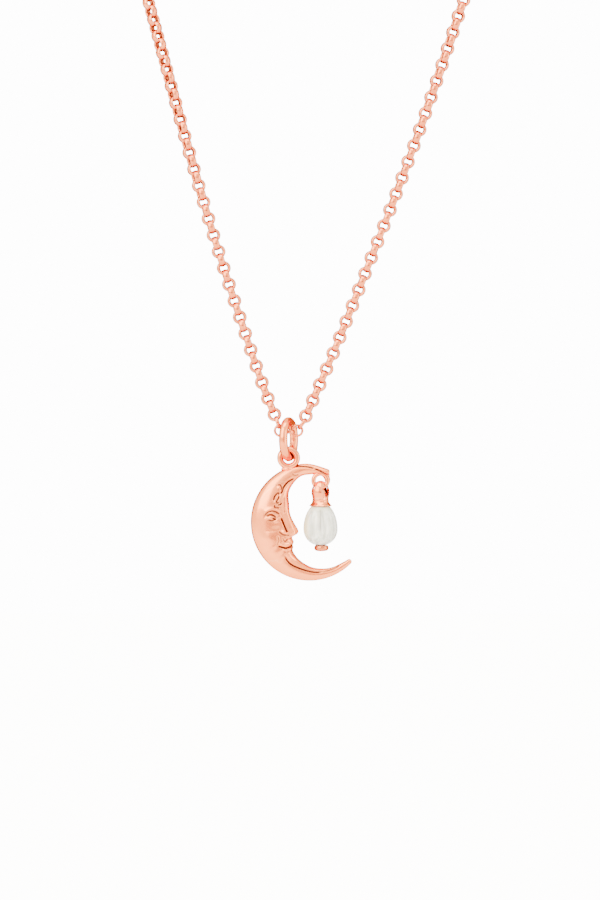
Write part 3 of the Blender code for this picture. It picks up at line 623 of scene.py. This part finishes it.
def camera():
    data = bpy.data.cameras.new("camera")
    eye = bpy.data.objects.new("camera", data)
    eye.location = (CAMERA_SIDE * MM, (PENDANT.y - CAMERA_AWAY) * MM, CAMERA_UP * MM)
    eye.rotation_euler = (math.radians(90), 0, 0)
    data.sensor_fit = "VERTICAL"
    data.sensor_height = 36
    data.lens = data.sensor_height * CAMERA_AWAY / CAMERA_TALL
    data.clip_start = 0.01
    data.clip_end = 20
    bpy.context.scene.collection.objects.link(eye)
    bpy.context.scene.camera = eye


camera()


# Chain


def add_link(bm, centre, along, side):
    """One belcher link: a band of rounded wire bent into a circle, in the plane of along and side."""
    ring(bm, centre, along, side, LINK_OUTER, LINK_THICK, LINK_WIDTH, steps=26, sides=12)


def link_places(points):
    """Places of the links, spaced for an even count: the last then stands across the end link."""
    for stretch in (0, 0.006, 0.012):
        line = smooth_points(points, (LINK_PITCH + stretch) * MM)
        if len(line) % 2 == 0:
            break
    return line


def chain_leg(name, first_link, route, last_link, node, twist):
    """A leg of the chain. Each link stands across the one before, and the leg is twisted along its run."""
    points = [middle(first_link), *(at(a, c, b) for a, b, c in route), middle(last_link)]
    line = link_places(points)
    bm = bmesh.new()
    last = len(line) - 1
    shaky = random.Random(7)
    for i in range(1, last):
        along = (line[i + 1] - line[i - 1]).normalized()
        side = (Y - along * Y.dot(along)).normalized()
        share = i / last
        grown = min(1.0, max(0.0, (share - TWIST_START) / TWIST_RISE))
        turn = twist * grown * min(1.0, (1 - share) / TWIST_FADE)
        turn += math.radians(shaky.uniform(-LINK_SHAKE, LINK_SHAKE)) + (0 if i % 2 == 0 else math.radians(90))
        side = Matrix.Rotation(turn, 3, along) @ side
        add_link(bm, line[i], along, side)
    obj = piece(name, bm, "chain", [node], CHAIN_GOLD, sharp=180)
    return obj, line


LEFT_CHAIN, LEFT_LINE = chain_leg(
    "left_chain_links", "chain_link_1", LEFT_ROUTE, "end_link_left", "chain_left", LEFT_TWIST
)
RIGHT_CHAIN, RIGHT_LINE = chain_leg(
    "right_chain_links", "chain_link_5", RIGHT_ROUTE, "end_link_right", "chain_right", RIGHT_TWIST
)


def pendant_links():
    """The five links at the pendant. The middle one lies level under the bail."""
    places = [middle(f"chain_link_{i}") for i in range(1, 6)]
    runs = [places[0] - places[1], places[0] - places[2], X, places[4] - places[2], places[4] - places[3]]
    for i, (place, run) in enumerate(zip(places, runs)):
        run = run.normalized()
        side = run.cross(Y).normalized() if i % 2 else Y
        bm = bmesh.new()
        outer, thick, width = PENDANT_LINKS[abs(i - 2)]
        ring(bm, place, run, side, outer, thick, width, steps=40, sides=14, power=2.5)
        piece(f"pendant_link_{i + 1}", bm, "chain", [f"chain_link_{i + 1}"], CHAIN_GOLD, sharp=180)


def end_links():
    """The last link of each leg, beside the clasp."""
    made = []
    for side_name in ("left", "right"):
        bm = bmesh.new()
        place = middle(f"end_link_{side_name}")
        ring(bm, place, X, Z, LINK_OUTER, LINK_THICK, END_LINK_WIDTH, steps=40, sides=14, power=2.5)
        name = f"nape_link_{side_name}"
        made.append(piece(name, bm, "chain", [f"end_link_{side_name}"], CHAIN_GOLD, sharp=180))
    return made


pendant_links()
NAPE_LINKS = end_links()


# Clasp


def cut_with(obj, cutter, how="DIFFERENCE"):
    """Applies a Boolean and throws the other object away."""
    modifier = obj.modifiers.new("cut", "BOOLEAN")
    modifier.operation = how
    modifier.solver = "EXACT"
    modifier.object = cutter
    mesh = apply_modifiers(obj)
    mesh.set_sharp_from_angle(angle=math.radians(40))
    bpy.data.objects.remove(cutter, do_unlink=True)


def tool(bm):
    """An object that only cuts or joins another one."""
    bmesh.ops.recalc_face_normals(bm, faces=bm.faces)
    return new_object("tool", bm)


def clasp_run(start, end, outline, steps):
    """An outline carried along the clasp's circle, between two angles in degrees."""
    frames = arc(CLASP, X, Z, CLASP_RADIUS, CLASP_RADIUS, math.radians(start), math.radians(end), steps)
    return sweep(bmesh.new(), frames, outline, closed=False)


def clasp_tube():
    """The bent tube with its bore, the slot for the thumb piece and the eye."""
    tube = section(CLASP_TUBE / 2, CLASP_TUBE / 2, 24)
    bore = section(CLASP_BORE, CLASP_BORE, 20)
    slot = [(0, -0.25), (1.4, -0.25), (1.4, 0.25), (0, 0.25)]
    obj = piece("clasp_tube", clasp_run(80, 400, tube, 72), "chain", ["clasp_body"], WIRE_GOLD)
    cut_with(obj, tool(clasp_run(72, 260, bore, 44)))
    cut_with(obj, tool(clasp_run(30, 48, bore, 6)))
    cut_with(obj, tool(clasp_run(99.5, 160.5, slot, 16)))
    eye_place = CLASP - X * (CLASP_RADIUS + CLASP_TUBE / 2 + CLASP_EYE / 2 - CLASP_EYE_WIRE / 2) * MM
    eye = ring(bmesh.new(), eye_place, X, Z, CLASP_EYE, CLASP_EYE_WIRE, CLASP_EYE_WIRE, 40, 12)
    cut_with(obj, tool(eye), "UNION")
    return obj


def clasp_bolt():
    """The bent bolt with its thumb piece."""
    rod = clasp_run(34, 150, section(BOLT_RADIUS, BOLT_RADIUS, 20), 40)
    obj = piece("clasp_bolt_and_thumb", rod, "bolt", ["clasp_bolt"], WIRE_GOLD)
    thumb = clasp_run(101.5, 110.5, section(1.45, 0.2, 16, 5.0), 4)
    cut_with(obj, tool(thumb), "UNION")
    return obj


def clasp_spring():
    """The coil spring behind the bolt, wound along the bent tube."""
    steps = SPRING_COILS * 20
    coil = []
    for i in range(steps + 1):
        turn = math.radians(SPRING_START + (SPRING_END - SPRING_START) * i / steps)
        wind = math.tau * SPRING_COILS * i / steps
        outwards = X * math.cos(turn) + Z * math.sin(turn)
        reach = CLASP_RADIUS + SPRING_RADIUS * math.cos(wind)
        coil.append((CLASP + (outwards * reach + Y * (SPRING_RADIUS * math.sin(wind))) * MM, turn))
    frames = []
    for i, (place, turn) in enumerate(coil):
        along = (coil[min(i + 1, steps)][0] - coil[max(i - 1, 0)][0]).normalized()
        core = CLASP + (X * math.cos(turn) + Z * math.sin(turn)) * CLASP_RADIUS * MM
        out = (place - core).normalized()
        side = along.cross(out).normalized()
        frames.append((place, side.cross(along), side))
    bm = sweep(bmesh.new(), frames, section(SPRING_WIRE, SPRING_WIRE, 8), closed=False)
    return piece("clasp_coil_spring", bm, "chain", ["clasp_spring"], STEEL)


def clasp_ring(name, node, outer, thick):
    """A ring that lies level between the clasp and a leg of the chain."""
    bm = ring(bmesh.new(), middle(node), X, Y, outer, thick, thick, 56, 16)
    return piece(name, bm, "chain", [node], WIRE_GOLD)


LEFT_CLASP = [
    clasp_tube(),
    clasp_bolt(),
    clasp_spring(),
    clasp_ring("clasp_jump_ring", "jump_ring", 3.2, 0.6),
]
RIGHT_CLASP = [clasp_ring("clasp_end_ring", "end_ring", 3.6, 0.7)]


# Bail, eye ring and horn ring


def fused(obj, voxel, rounds):
    """Makes overlapping shapes one skin, and smooths the joint as solder would."""
    remesh = obj.modifiers.new("fuse", "REMESH")
    remesh.mode = "VOXEL"
    remesh.voxel_size = voxel * MM
    remesh.use_smooth_shade = True
    smooth = obj.modifiers.new("soften", "SMOOTH")
    smooth.factor = 0.5
    smooth.iterations = rounds
    apply_modifiers(obj)


def add_blob(bm, centre, right, up, reach_right, reach_up, reach_deep):
    """A squashed ball, for solder."""
    made = bmesh.ops.create_icosphere(bm, subdivisions=3, radius=1.0)
    deep = right.cross(up)
    for vert in made["verts"]:
        x, y, z = vert.co
        vert.co = centre + (right * (x * reach_right) + up * (z * reach_up) + deep * (y * reach_deep)) * MM


def bail():
    """The heavy oval ring, turned a little to the side."""
    across = Vector((math.sin(BAIL_TURN), math.cos(BAIL_TURN), 0))
    place = middle("bail_ring")
    bm = ring(bmesh.new(), place, across, Z, BAIL_WIDE, BAIL_WIRE, BAIL_WIRE, 96, 28, outer_up=BAIL_TALL)
    piece("polished_bail", bm, "bail", ["bail_ring"], WIRE_GOLD, sharp=180)


def eye_ring():
    """The ring on top of the moon, with its seam of solder."""
    bm = ring(bmesh.new(), at(0, EYE_UP), X, Z, EYE_OUTER, EYE_WIRE, EYE_WIRE, 72, 20)
    add_blob(bm, at(0.05, EYE_UP - 2.03), X, Z, 1.5, 0.34, 0.62)
    eye = piece("moon_eye_ring", bm, "moon", ["moon_eye"], WIRE_GOLD, sharp=180)
    fused(eye, 0.05, 6)


def horn_ring():
    """The ring under the upper horn, built up with solder where it meets the moon."""
    bm = ring(bmesh.new(), at(DROP_X, HORN_UP), X, Z, HORN_OUTER, HORN_WIRE, HORN_WIRE, 64, 18)
    add_blob(bm, at(DROP_X - 0.75, -7.72, 0.45), X, Z, 0.8, 0.32, 0.42)
    for degrees, size in HORN_SOLDER:
        turn = math.radians(degrees)
        across = DROP_X + HORN_LINE * math.cos(turn)
        up = HORN_UP + HORN_LINE * math.sin(turn)
        add_blob(bm, at(across, up, 0.5 * math.sin(max(turn, 0))), X, Z, size, size, 0.75 * size)
    add_blob(bm, at(7.06, -8.02, 0.25), X, Z, 0.44, 0.55, 0.42)
    horn = piece("horn_ring_soldered", bm, "moon", ["horn_ring"], WIRE_GOLD, sharp=180)
    fused(horn, 0.045, 6)


# Moon


def rim_distance(turn):
    """From the bay's centre to the moon's outer edge. Towards the upper horn the edge is cut back."""
    along = Vector((math.cos(turn), math.sin(turn)))
    apart = Vector(BAY_CENTRE) - Vector(MOON_CENTRE)
    lean = apart.dot(along)
    reach = -lean + math.sqrt(lean * lean - apart.length_squared + MOON_RADIUS**2)
    run = math.radians(HORN_CUT_START - HORN_CUT_FULL)
    share = min(1.0, max(0.0, (math.radians(HORN_CUT_START) - turn) / run))
    return reach - HORN_CUT * share * share * (3 - 2 * share)


def moon_stations():
    """(outer, inner) edge points along the crescent, from the upper horn to the lower tip."""
    inner = smooth_points([Vector((a, 0, c)) for a, c in INNER_EDGE], 0.085)
    turns = []
    for point in inner:
        turn = math.atan2(point.z - BAY_CENTRE[1], point.x - BAY_CENTRE[0]) % math.tau
        turns.append(max([turn, *turns[-1:]]))
    soft = np.convolve(np.pad(turns, EVEN_OUT, mode="reflect", reflect_type="odd"), EVEN_SHARES, mode="valid")
    stations = []
    for point, turn in zip(inner, soft):
        reach = rim_distance(turn)
        outer = (BAY_CENTRE[0] + reach * math.cos(turn), BAY_CENTRE[1] + reach * math.sin(turn))
        stations.append((outer, (point.x, point.z)))
    return stations


def near_line(places, points):
    """Distance of each place from a line through the points, and the share of the line where it's nearest."""
    best = np.full(len(places), 1e9)
    share = np.zeros(len(places))
    parts = len(points) - 1
    for k, (a, b) in enumerate(zip(points, points[1:])):
        a = np.array(a)
        b = np.array(b)
        t = np.clip(((places - a) @ (b - a)) / ((b - a) @ (b - a)), 0, 1)
        far = np.linalg.norm(places - a - t[:, None] * (b - a), axis=1)
        closer = far < best
        best = np.where(closer, far, best)
        share = np.where(closer, (k + t) / parts, share)
    return best, share


def carving(places):
    """How far the moon's front is raised at these places (cut where below 0), and how much painted shade the
    carved lines get there.
    """
    height = np.zeros(len(places))
    painted_line_shade = np.zeros(len(places))
    for depth, half, points in CARVING:
        curve = smooth_points([Vector((a, 0, c)) for a, c in points], 0.12)
        far, share = near_line(places, [(p.x, p.z) for p in curve])
        fade = 0.12 if abs(depth) > 0.1 else 0.45
        least = 0.25 if depth > 0.1 else 0
        ends = np.clip(np.minimum(share, 1 - share) / fade, least, 1)
        height -= depth * ends * np.exp(-((far / half) ** 2) / 1.3)
        # Painted shade along the deeper carved lines
        dark = min(1.0, max(0.0, depth / DARKEST_DEPTH))
        reach = 0.45 * half + 0.075 + 0.045 * dark
        painted_line_shade = np.maximum(painted_line_shade, dark * ends * np.exp(-((far / reach) ** 2)))
    for x, z, wide, tall, up in SWELLINGS:
        gap = ((places[:, 0] - x) / wide) ** 2 + ((places[:, 1] - z) / tall) ** 2
        height += up * np.exp(-gap)
    return height, painted_line_shade


def dome(t):
    """Share of the thickness across the crescent, from the outer edge, 0, to the inner, 1."""
    outer = np.clip(1 - t / 0.5, 0, 1)
    inner = np.clip((t - 0.5) / 0.5, 0, 1)
    rise = 0.34 + 0.66 * np.sqrt(1 - outer**2.3)
    fall = 0.46 + 0.54 * np.sqrt(1 - inner**2.6)
    return np.where(t < 0.5, rise, fall)


def moon():
    """The crescent: a flat back, a domed front, and the face and hair carved in it."""
    shares = 0.5 - 0.5 * np.cos(np.pi * np.arange(MOON_STEPS_ACROSS + 1) / MOON_STEPS_ACROSS)
    stations = moon_stations()
    outer = np.array([o for o, i in stations])
    inner = np.array([i for o, i in stations])
    width = np.linalg.norm(outer - inner, axis=1)
    thick = MOON_THICK * np.minimum(1, width / FULL_WIDTH) ** 0.5
    thick += HORN_BUILD * np.exp(-((np.arange(len(thick)) / HORN_BUILD_ROWS) ** 2))
    flat = outer[:, None, :] * (1 - shares)[None, :, None] + inner[:, None, :] * shares[None, :, None]
    raised = dome(shares)[None, :] * thick[:, None]
    lift, painted_line_shade = (part.reshape(raised.shape) for part in carving(flat.reshape(-1, 2)))
    # The carving stops short of the edges and is shallower where the moon is thin
    edge_room = np.clip(np.minimum(shares, 1 - shares) / 0.02, 0, 1)[None, :]
    raised = raised + lift * edge_room * np.minimum(1, thick[:, None] / 2.2)
    bm = bmesh.new()
    # Painted shade of the carved lines, kept on each vertex for the moon's material
    layer = bm.verts.layers.float.new("painted_line_shade")
    rings = []
    for k in range(len(stations)):
        edge_in = (inner[k] - outer[k]) / width[k] * BACK_BEVEL
        row = [bm.verts.new(at(*(outer[k] + edge_in), MOON_BACK))]
        row.append(bm.verts.new(at(*outer[k], MOON_BACK - BACK_BEVEL)))
        for i in range(MOON_STEPS_ACROSS + 1):
            row.append(bm.verts.new(at(*flat[k, i], MOON_BACK - raised[k, i])))
            row[-1][layer] = painted_line_shade[k, i]
        row.append(bm.verts.new(at(*inner[k], MOON_BACK - BACK_BEVEL)))
        row.append(bm.verts.new(at(*(inner[k] - edge_in), MOON_BACK)))
        rings.append(row)
    rings = round_end(bm, rings, 1, 0.42) + rings + round_end(bm, rings, -1, 0.55)
    join_rings(bm, rings, closed=False)
    piece("crescent_moon_with_face", bm, "moon", ["moon_body"], MOON_GOLD, sharp=180)


def round_end(bm, rings, way, reach):
    """Rows that close one end of the crescent with a rounded cap."""
    near, far = (rings[0], rings[4]) if way > 0 else (rings[-1], rings[-5])
    points = [v.co.copy() for v in near]
    centre = sum(points, Vector()) / len(points)
    ahead = (centre - sum((v.co for v in far), Vector()) / len(far)).normalized()
    rows = []
    for i in range(1, 8):
        turn = math.pi / 2 * i / 7.5
        shift = ahead * (reach * MM * math.sin(turn))
        rows.append([bm.verts.new(centre + (p - centre) * math.cos(turn) ** 0.8 + shift) for p in points])
    return rows[::-1] if way > 0 else rows


# Drop


def drop_loop():
    """The tulip-shaped loop above the pearl, with its pointed opening."""
    along = Vector((math.cos(DROP_TURN), -math.sin(DROP_TURN), 0))
    across = Vector((math.sin(DROP_TURN), math.cos(DROP_TURN), 0))
    # Share of the way down, then shares of the half width and of the half depth
    steps = [
        (0.0, 0.16, 0.14), (0.02, 0.30, 0.26), (0.05, 0.44, 0.38), (0.10, 0.58, 0.50), (0.16, 0.71, 0.60),
        (0.23, 0.83, 0.71), (0.30, 0.92, 0.82), (0.39, 1.00, 0.94), (0.48, 1.04, 1.01), (0.57, 1.06, 1.05),
        (0.66, 1.05, 1.05), (0.75, 1.01, 1.02), (0.84, 0.96, 0.98), (0.92, 0.92, 0.94), (1.02, 0.91, 0.93),
    ]
    bm = bmesh.new()
    rings = []
    for share, wide, deep in steps:
        outline = section(deep * LOOP_HALF_DEEP, wide * LOOP_HALF_WIDE, 48)
        centre = at(DROP_X, LOOP_TOP - share * LOOP_TALL)
        rings.append([bm.verts.new(centre + (along * a + across * b) * MM) for a, b in outline])
    join_rings(bm, rings, closed=False)
    obj = piece("drop_tulip_loop", bm, "drop", ["drop_bail"], WIRE_GOLD)
    half = [
        (0, -12.26), (0.30, -11.82), (0.56, -11.38), (0.77, -10.95), (0.82, -10.6), (0.64, -10.25),
        (0.31, -10.04),
    ]
    outline = [*half, (0, -9.97), *((-b, c) for b, c in reversed(half[1:]))]
    frames = [(at(DROP_X, 0) + along * s * MM, across, Z) for s in (-3.0, 3.0)]
    cut_with(obj, tool(sweep(bmesh.new(), frames, outline, closed=False)))
    wire_room(obj)
    bevel_edges(obj, 0.09)


def wire_room(obj):
    """The flared round hole that the horn ring's wire rests in."""
    reach = 0.92 * HORN_LINE
    profile = [(0, -reach)]
    for i in range(25):
        s = -reach + 2 * reach * i / 24
        profile.append((HORN_WIRE / 2 + 0.05 + HORN_LINE - math.sqrt(HORN_LINE**2 - s**2), s))
    profile.append((0, reach))
    bm = turned(bmesh.new(), profile, Vector((0, 0, 0)), 32)
    lay = Matrix.Rotation(math.radians(90), 4, "Y")
    bmesh.ops.transform(bm, matrix=Matrix.Translation(at(DROP_X, DROP_HINGE_UP)) @ lay, verts=bm.verts)
    cut_with(obj, tool(bm))


def bevel_edges(obj, width):
    modifier = obj.modifiers.new("soft_edges", "BEVEL")
    modifier.width = width * MM
    modifier.segments = 3
    modifier.limit_method = "ANGLE"
    modifier.angle_limit = math.radians(38)
    modifier.use_clamp_overlap = True
    apply_modifiers(obj)


def pearl_outline(share):
    """Radius and height at a share of the way down the pearl, measured from its top."""
    shoulder = PEARL_TALL * PEARL_SHOULDER
    turn = math.pi * share
    height = math.cos(turn)
    long = shoulder if height > 0 else PEARL_TALL - shoulder
    swell = 1.0 if height > 0 else 0.9
    return PEARL_RADIUS * math.sin(turn) ** swell, -(shoulder - height * long)


def pearl():
    """A drop pearl, not quite round, drilled right through."""
    outline = [pearl_outline(i / 64) for i in range(1, 64)]
    outline = [(r, h) for r, h in outline if r > PEARL_BORE + 0.08]
    profile = [(PEARL_BORE, outline[0][1]), *outline, (PEARL_BORE, outline[-1][1])]

    def uneven(turn, i):
        return 1 - 0.006 * (1 + math.sin(2 * turn + 0.6)) - 0.003 * (1 + math.sin(5 * turn + 0.11 * i))

    bm = turned(bmesh.new(), profile, at(DROP_X, PEARL_TOP), 96, uneven)
    piece("drop_pearl_nacre", bm, "pearl", ["pearl"], NACRE, sharp=60)


def cap():
    """The flared cap with a scalloped rim."""
    outside = [
        (CAP_BORE, 0), (1.40, 0), (1.50, -0.03), (1.54, -0.08), (1.51, -0.20), (1.51, -0.32), (1.59, -0.50),
        (1.75, -0.70), (1.92, -0.88), (2.05, -1.02), (2.09, -1.09), (2.04, -1.14), (1.88, -1.13),
    ]
    over_pearl = [pearl_outline(i / 64) for i in range(1, 40)]
    inside = [(r + 0.10, h - 0.35) for r, h in over_pearl if 0.5 < r < 1.62]
    inside = [(r, h) for r, h in inside if h > -1.08]
    profile = [*outside, *reversed(inside), (CAP_BORE, -0.36)]
    waist = 6
    rim = len(outside) - 1

    def scallop(turn, i):
        if not waist <= i <= rim:
            return 1.0
        share = (i - waist) / (rim - waist)
        return 1 - 0.085 * share * (1 - abs(math.sin(CAP_SCALLOPS / 2 * turn + 0.5)) ** 0.7)

    bm = turned(bmesh.new(), profile, at(DROP_X, CAP_TOP), 128, scallop)
    piece("pearl_cap_scalloped", bm, "drop", ["pearl_cap"], WIRE_GOLD, sharp=40)


def pin():
    """The wire through the pearl, and its low cup-shaped end bead, set a little off the wire."""
    seat = BEAD_TOP - PIN_TOP
    profile = [
        (0, 0), (0.36, 0), (PIN_RADIUS, -0.04), (PIN_RADIUS, seat), (0.62, seat - 0.06), (0.86, seat + 0.02),
        (1.08, seat + 0.09), (1.20, seat + 0.02), (1.29, seat - 0.18), (1.31, seat - 0.42),
        (1.26, seat - 0.66), (1.08, seat - 0.86), (0.75, seat - 0.96), (0.40, seat - 1.0), (0, seat - 1.0),
    ]
    bm = turned(bmesh.new(), profile, at(DROP_X, PIN_TOP), 64)
    axis = at(DROP_X, PIN_TOP + seat + 0.1)
    for vert in bm.verts:
        from_axis = math.hypot(vert.co.x - axis.x, vert.co.y - axis.y)
        if vert.co.z < axis.z and from_axis > (PIN_RADIUS + 0.05) * MM:
            vert.co.x += BEAD_SHIFT * MM
    piece("pearl_pin_and_bead", bm, "drop", ["head_pin"], BEAD_GOLD, sharp=50)


bail()
eye_ring()
horn_ring()
moon()
drop_loop()
cap()
pin()
pearl()


# Stage and light, in metres

FLOOR_UP = -0.42
FLOOR_HALF = 4
TARGET = (0.0, -0.021, -0.205)
# Dark and light threads of the boards' felt
BLACK = ((0.012, 0.010, 0.010), (0.03, 0.025, 0.025))
BROWN = ((0.20, 0.11, 0.08), (0.26, 0.15, 0.11))
TAN = ((0.42, 0.30, 0.24), (0.50, 0.37, 0.30))


def flat_sheet(name, half_wide, half_tall, up=0.0):
    """An object of one face."""
    bm = bmesh.new()
    corners = [(-1, -1), (1, -1), (1, 1), (-1, 1)]
    bm.faces.new([bm.verts.new((a * half_wide, b * half_tall, up)) for a, b in corners])
    return new_object(name, bm)


def aim(obj, place):
    """Sets an object at a place and points its -Z, which a lamp shines along, at the pendant."""
    obj.location = place
    obj.rotation_euler = (Vector(TARGET) - Vector(place)).to_track_quat("-Z", "Y").to_euler()


def pale_floor():
    """A wide pale floor under the hanging necklace."""
    obj = flat_sheet("pale_floor", FLOOR_HALF, FLOOR_HALF, FLOOR_UP)
    material, tree, shader = new_material("white_paper")
    place = add(tree, "ShaderNodeTexCoord").outputs["Object"]
    fibre = noise(tree, place, 260.0, 5.0, 0.6)
    tint = span(tree, fibre, 0.3, 0.7, 0, 1)
    colour = blend_colours(tree, tint, (0.98, 0.98, 0.98, 1), (0.94, 0.94, 0.94, 1))
    tree.links.new(colour, shader.inputs["Base Color"])
    tree.links.new(span(tree, fibre, 0.3, 0.7, 0.75, 0.9), shader.inputs["Roughness"])
    tree.links.new(colour, shader.inputs["Emission Color"])
    seen = add(tree, "ShaderNodeLightPath").outputs["Is Camera Ray"]
    tree.links.new(span(tree, seen, 0, 1, 0.4, 11.0), shader.inputs["Emission Strength"])
    relief(tree, shader, fibre, 0.1, 0.0002)
    obj.data.materials.append(material)


def soft_light(name, place, wide, tall, power):
    """A warm rectangular lamp."""
    data = bpy.data.lights.new(name, "AREA")
    data.shape = "RECTANGLE"
    data.size = wide
    data.size_y = tall
    data.energy = power
    data.color = (1.0, 0.95, 0.84)
    lamp = bpy.data.objects.new(name, data)
    aim(lamp, place)
    bpy.context.scene.collection.objects.link(lamp)


def felt_board(name, place, wide, tall, felt_colours):
    """A board that only shows as a dark or brown line in the polished metal."""
    obj = flat_sheet(name, wide / 2, tall / 2)
    aim(obj, place)
    material, tree, shader = new_material(name)
    felt = noise(tree, add(tree, "ShaderNodeTexCoord").outputs["Object"], 300.0)
    dark, light = felt_colours
    colour = blend_colours(tree, felt, (*dark, 1), (*light, 1))
    tree.links.new(colour, shader.inputs["Base Color"])
    shader.inputs["Roughness"].default_value = 0.9
    obj.data.materials.append(material)
    obj.visible_camera = False


def world():
    """A warm surround, plain white where the camera looks straight at it."""
    surround = bpy.data.worlds.new("studio_white")
    surround.use_nodes = True
    tree = surround.node_tree
    background = tree.nodes["Background"]
    seen = add(tree, "ShaderNodeLightPath").outputs["Is Camera Ray"]
    warm = blend_colours(tree, seen, (1.0, 0.94, 0.80, 1), (1.0, 1.0, 1.0, 1))
    tree.links.new(warm, background.inputs["Color"])
    tree.links.new(span(tree, seen, 0, 1, 3.6, 14.0), background.inputs["Strength"])
    bpy.context.scene.world = surround


world()
pale_floor()
soft_light("key_left", (-0.60, -0.85, 0.40), 1.0, 1.0, 24)
soft_light("fill_right", (0.85, -0.45, -0.1), 0.3, 0.8, 5)
soft_light("top", (0.0, -0.35, 0.75), 0.8, 0.4, 9)
felt_board("dark_board_right", (0.34, -0.30, -0.15), 0.045, 0.5, BLACK)
felt_board("brown_board_back_left", (-0.20, 0.17, -0.15), 0.22, 0.6, BROWN)
felt_board("brown_board_back_right", (0.20, 0.17, -0.15), 0.22, 0.6, BROWN)
felt_board("brown_board_front", (0.05, -1.1, -0.42), 0.7, 0.9, TAN)
felt_board("dark_board_low", (0.0, -0.24, -0.46), 0.6, 0.08, BLACK)
